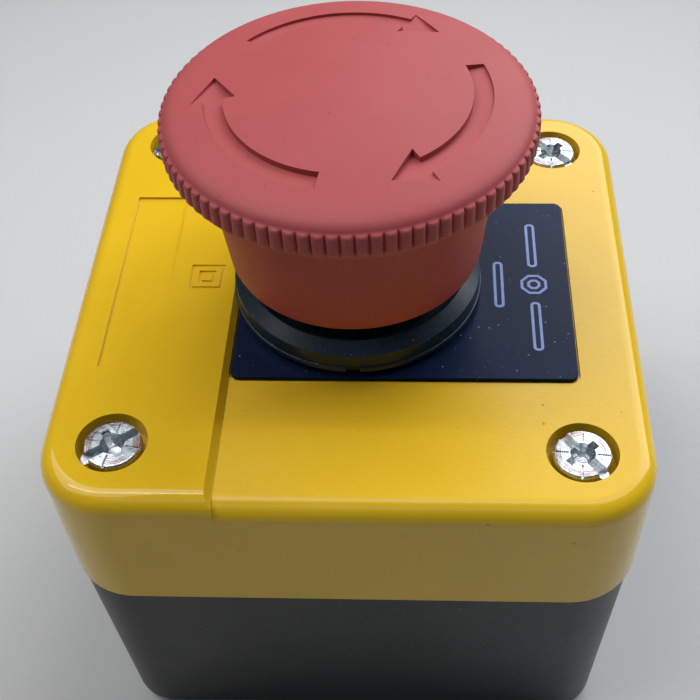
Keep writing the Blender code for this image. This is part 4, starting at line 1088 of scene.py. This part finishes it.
# inner parts: roughness, metallic, clouds in the color with their two stops, then grain or patches
innerFinishes = {
    "greyPlastic": {"base": (0.45, 0.0), "clouds": (80, 4, 0.6), "grain": (2200, 2, 0.6),
                    "grainSize": (0.15, 0.05 * mm),
                    "stops": [(0.3, (0.26, 0.27, 0.28)), (0.7, (0.36, 0.37, 0.38))]},
    "sealRubber": {"base": (0.75, 0.0), "clouds": (140, 4, 0.6), "grain": (1300, 3, 0.6),
                   "grainSize": (0.3, 0.05 * mm),
                   "stops": [(0.3, (0.012, 0.012, 0.012)), (0.7, (0.03, 0.03, 0.03))]},
    "drawnWire": {"base": (0.3, 1.0), "clouds": (500, 4, 0.6), "grain": (900, 3, 0.6, (1, 1, 6)),
                  "grainSize": (0.15, 0.03 * mm),
                  "stops": [(0.3, (0.42, 0.42, 0.44)), (0.7, (0.62, 0.62, 0.64))]},
    "contactBrass": {"base": (0.3, 1.0), "clouds": (300, 4, 0.6), "patches": (600, 4, 0.6),
                     "patchRange": (0.25, 0.18),
                     "stops": [(0.3, (0.60, 0.40, 0.14)), (0.7, (0.78, 0.56, 0.24))]},
    "zincSteel": {"base": (0.3, 1.0), "clouds": (500, 4, 0.65), "patches": (1500, 3, 0.6),
                  "patchRange": (0.25, 0.14),
                  "stops": [(0.32, (0.55, 0.57, 0.60)), (0.6, (0.78, 0.80, 0.84))]},
}


def innerFinish(name):
    s = innerFinishes[name]
    material, tree, shader = newFinish(name, *s["base"])
    linkInput(tree, ramp(tree, noise(tree, *s["clouds"]), s["stops"]), shader, "Base Color")
    if "grain" in s:
        bump(tree, shader, noise(tree, *s["grain"]), *s["grainSize"])
    if "patches" in s:
        patchyRoughness(tree, shader, noise(tree, *s["patches"]), *s["patchRange"])
    return material


# each coil spring: its joint, its turns and its wire's radius
springShape = {
    "coils": {
        "return_spring": ("press", 5, 0.45 * mm),
        "nc_contact_spring": ("nc_contact", 5, 0.22 * mm),
        "no_contact_spring": ("no_contact", 5, 0.22 * mm),
    },
    "stepsPerTurn": 36,
    "wireSides": 12,
    "flatTurns": 0.75,  # turns at each end that lie flat
}


# a round wire wound between the levels of the node it replaces, with closed ends
def makeSpring(node):
    s = springShape
    joint, turns, wire = s["coils"][node]
    low, high = boxOf(node)
    center = (low + high) / 2
    length = high.z - low.z
    radius = (high.x - low.x) / 2 - wire
    sides = [2 * math.pi * k / s["wireSides"] for k in range(s["wireSides"])]
    rings = []
    for step in range(turns * s["stepsPerTurn"] + 1):
        turned = step / s["stepsPerTurn"]
        rise = min(1.0, max(0.0, (turned - s["flatTurns"]) / (turns - 2 * s["flatTurns"])))
        middle = Vector((center.x, center.y, low.z + wire + rise * (length - 2 * wire)))
        angle = 2 * math.pi * turned
        outward = Vector((math.cos(angle), math.sin(angle), 0))
        rings.append([middle + outward * (radius + wire * math.cos(side))
                      + Vector((0, 0, wire * math.sin(side))) for side in sides])
    piece = addPiece(node + "_coil", stackRings(node, rings), wireFinish, "enclosure", [node])
    softenEdges(piece, 0)
    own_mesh(piece)


# the parts that keep their modelled shape
def dressInnerParts():
    finishes = {"black_plastic": blackFinish, "grey_plastic": innerFinish("greyPlastic"),
                "rubber": innerFinish("sealRubber"), "spring_steel": wireFinish,
                "contact_brass": innerFinish("contactBrass"), "zinc_steel": innerFinish("zincSteel"),
                "red_plastic": redFinish, "yellow_plastic": yellowFinish,
                "legend_laminate": laminateFinish}
    slots = {part["node"]: part["material_slot"] for part in frame["record"]["subparts"]}
    for node, piece in frame["nodes"].items():
        piece.data.materials.clear()
        piece.data.materials.append(finishes[slots[node]])


studio = {
    "azimuth": 3.33,
    "elevation": 50.02,
    "roll": -2.11,
    "distance": 162.15 * mm,
    "target": (2.02 * mm, 6.01 * mm, 26.77 * mm),
    "lens": 57.74,
    "shift": (-0.0414, 0.0357),
    "sensor": 36,
    "nearClip": 10 * mm,
    "floorSize": 2.0,
    "floorDrop": 0.2 * mm,  # floor below the object's back
    "floorNear": (0.56, 0.56, 0.56),
    "floorPaintedDim": (0.22, 0.22, 0.22),
    "floorMark": (0.3, 0.3, 0.3),
    "floorPaintedFalloff": (80 * mm, 320 * mm),  # painted falloff of light: pale round the object, darker further out
    "ambient": 0.02,
    "ambientColor": (0.90, 0.95, 1.0, 1),
}

# place, aim, size and power of each soft light, and its colour
lights = {
    "backWindow": ((0.50, 0.62, 0.62), (0, 0, 0.04), (1.1, 0.7), 9.8, (0.93, 0.97, 1.0)),
    "leftFill": ((-0.60, 0.10, 0.95), (0, 0, 0.04), (0.9, 0.8), 5.2, (1.0, 0.98, 0.95)),
    "overhead": ((0.0, 0.30, 1.15), (0, 0, 0), (1.5, 0.6), 2.6, (0.92, 0.96, 1.0)),
    "frontSky": ((0.0, -0.50, 0.80), (0, 0, 0.05), (0.6, 0.3), 0.34, (0.36, 0.70, 1.0)),
    "tubeBack": ((0.0, 0.05, 0.9), (0, 0, 0.05), (1.4, 0.03), 2.4, (1, 1, 1)),
}


def makeCamera():
    s = studio
    around, up, roll = (math.radians(s[key]) for key in ("azimuth", "elevation", "roll"))
    back = Vector((math.sin(around) * math.cos(up), -math.cos(around) * math.cos(up), math.sin(up)))
    side = (-back).cross(Vector((0, 0, 1))).normalized()
    top = side.cross(-back)
    sideRolled = side * math.cos(roll) + top * math.sin(roll)
    topRolled = top * math.cos(roll) - side * math.sin(roll)
    data = bpy.data.cameras.new("camera")
    data.lens = s["lens"]
    data.sensor_width = s["sensor"]
    data.shift_x, data.shift_y = s["shift"]
    data.clip_start = s["nearClip"]
    camera = newObject("camera", data)
    turn = Matrix((sideRolled, topRolled, back)).transposed().to_4x4()
    camera.matrix_world = Matrix.Translation(Vector(s["target"]) + back * s["distance"]) @ turn
    bpy.context.scene.camera = camera


def makeFloor():
    s = studio
    bm = bmesh.new()
    bmesh.ops.create_grid(bm, x_segments=1, y_segments=1, size=s["floorSize"])
    mesh = closeMesh("floor", bm)
    floor = newObject("floor", mesh)
    floor.location = (0, 0, -s["floorDrop"])
    material, tree, shader = newFinish("paleFloor", 0.8)
    # painted falloff of light: the floor darkens away from the object
    paintedFalloff = smoothGate(tree, distanceFromAxis(tree), *s["floorPaintedFalloff"])
    color = blendColors(tree, paintedFalloff, s["floorNear"], s["floorPaintedDim"])
    color = overlay(tree, color, noise(tree, 6, 2, 0.5), 0.04, s["floorMark"])
    linkInput(tree, color, shader, "Base Color")
    mesh.materials.append(material)


def makeLights():
    for name, (place, aim, size, power, color) in lights.items():
        data = bpy.data.lights.new(name, "AREA")
        data.shape = "RECTANGLE"
        data.size, data.size_y = size
        data.energy = power
        data.color = color
        light = newObject(name, data)
        light.location = place
        light.rotation_euler = (Vector(aim) - Vector(place)).to_track_quat("-Z", "Y").to_euler()
    world = bpy.data.worlds.new("studio")
    bpy.context.scene.world = world
    world.use_nodes = True
    background = world.node_tree.nodes["Background"]
    background.inputs["Color"].default_value = studio["ambientColor"]
    background.inputs["Strength"].default_value = studio["ambient"]
    bpy.context.scene.view_settings.view_transform = "Standard"


makeCamera()
makeFloor()
makeLights()
print("camera, floor and lights placed")

yellowFinish = yellowPlastic()
blackFinish = blackPlastic()
bezelFinish = bezelPlastic()
screwFinish = screwSteel()
laminateFinish = laminate()
inkFinish = printInk()
redFinish = redPlastic()
wireFinish = innerFinish("drawnWire")

dressInnerParts()
print("inner parts dressed")
makeCover()
makeBase()
print("box shells built")
for screwName in screwNames:
    makeScrew(screwName)
makePlate()
makePrint()
makeBezel()
print("screws, legend plate and bezel built")
makeHead()
print("head built")
for springName in springShape["coils"]:
    makeSpring(springName)
print("springs wound")
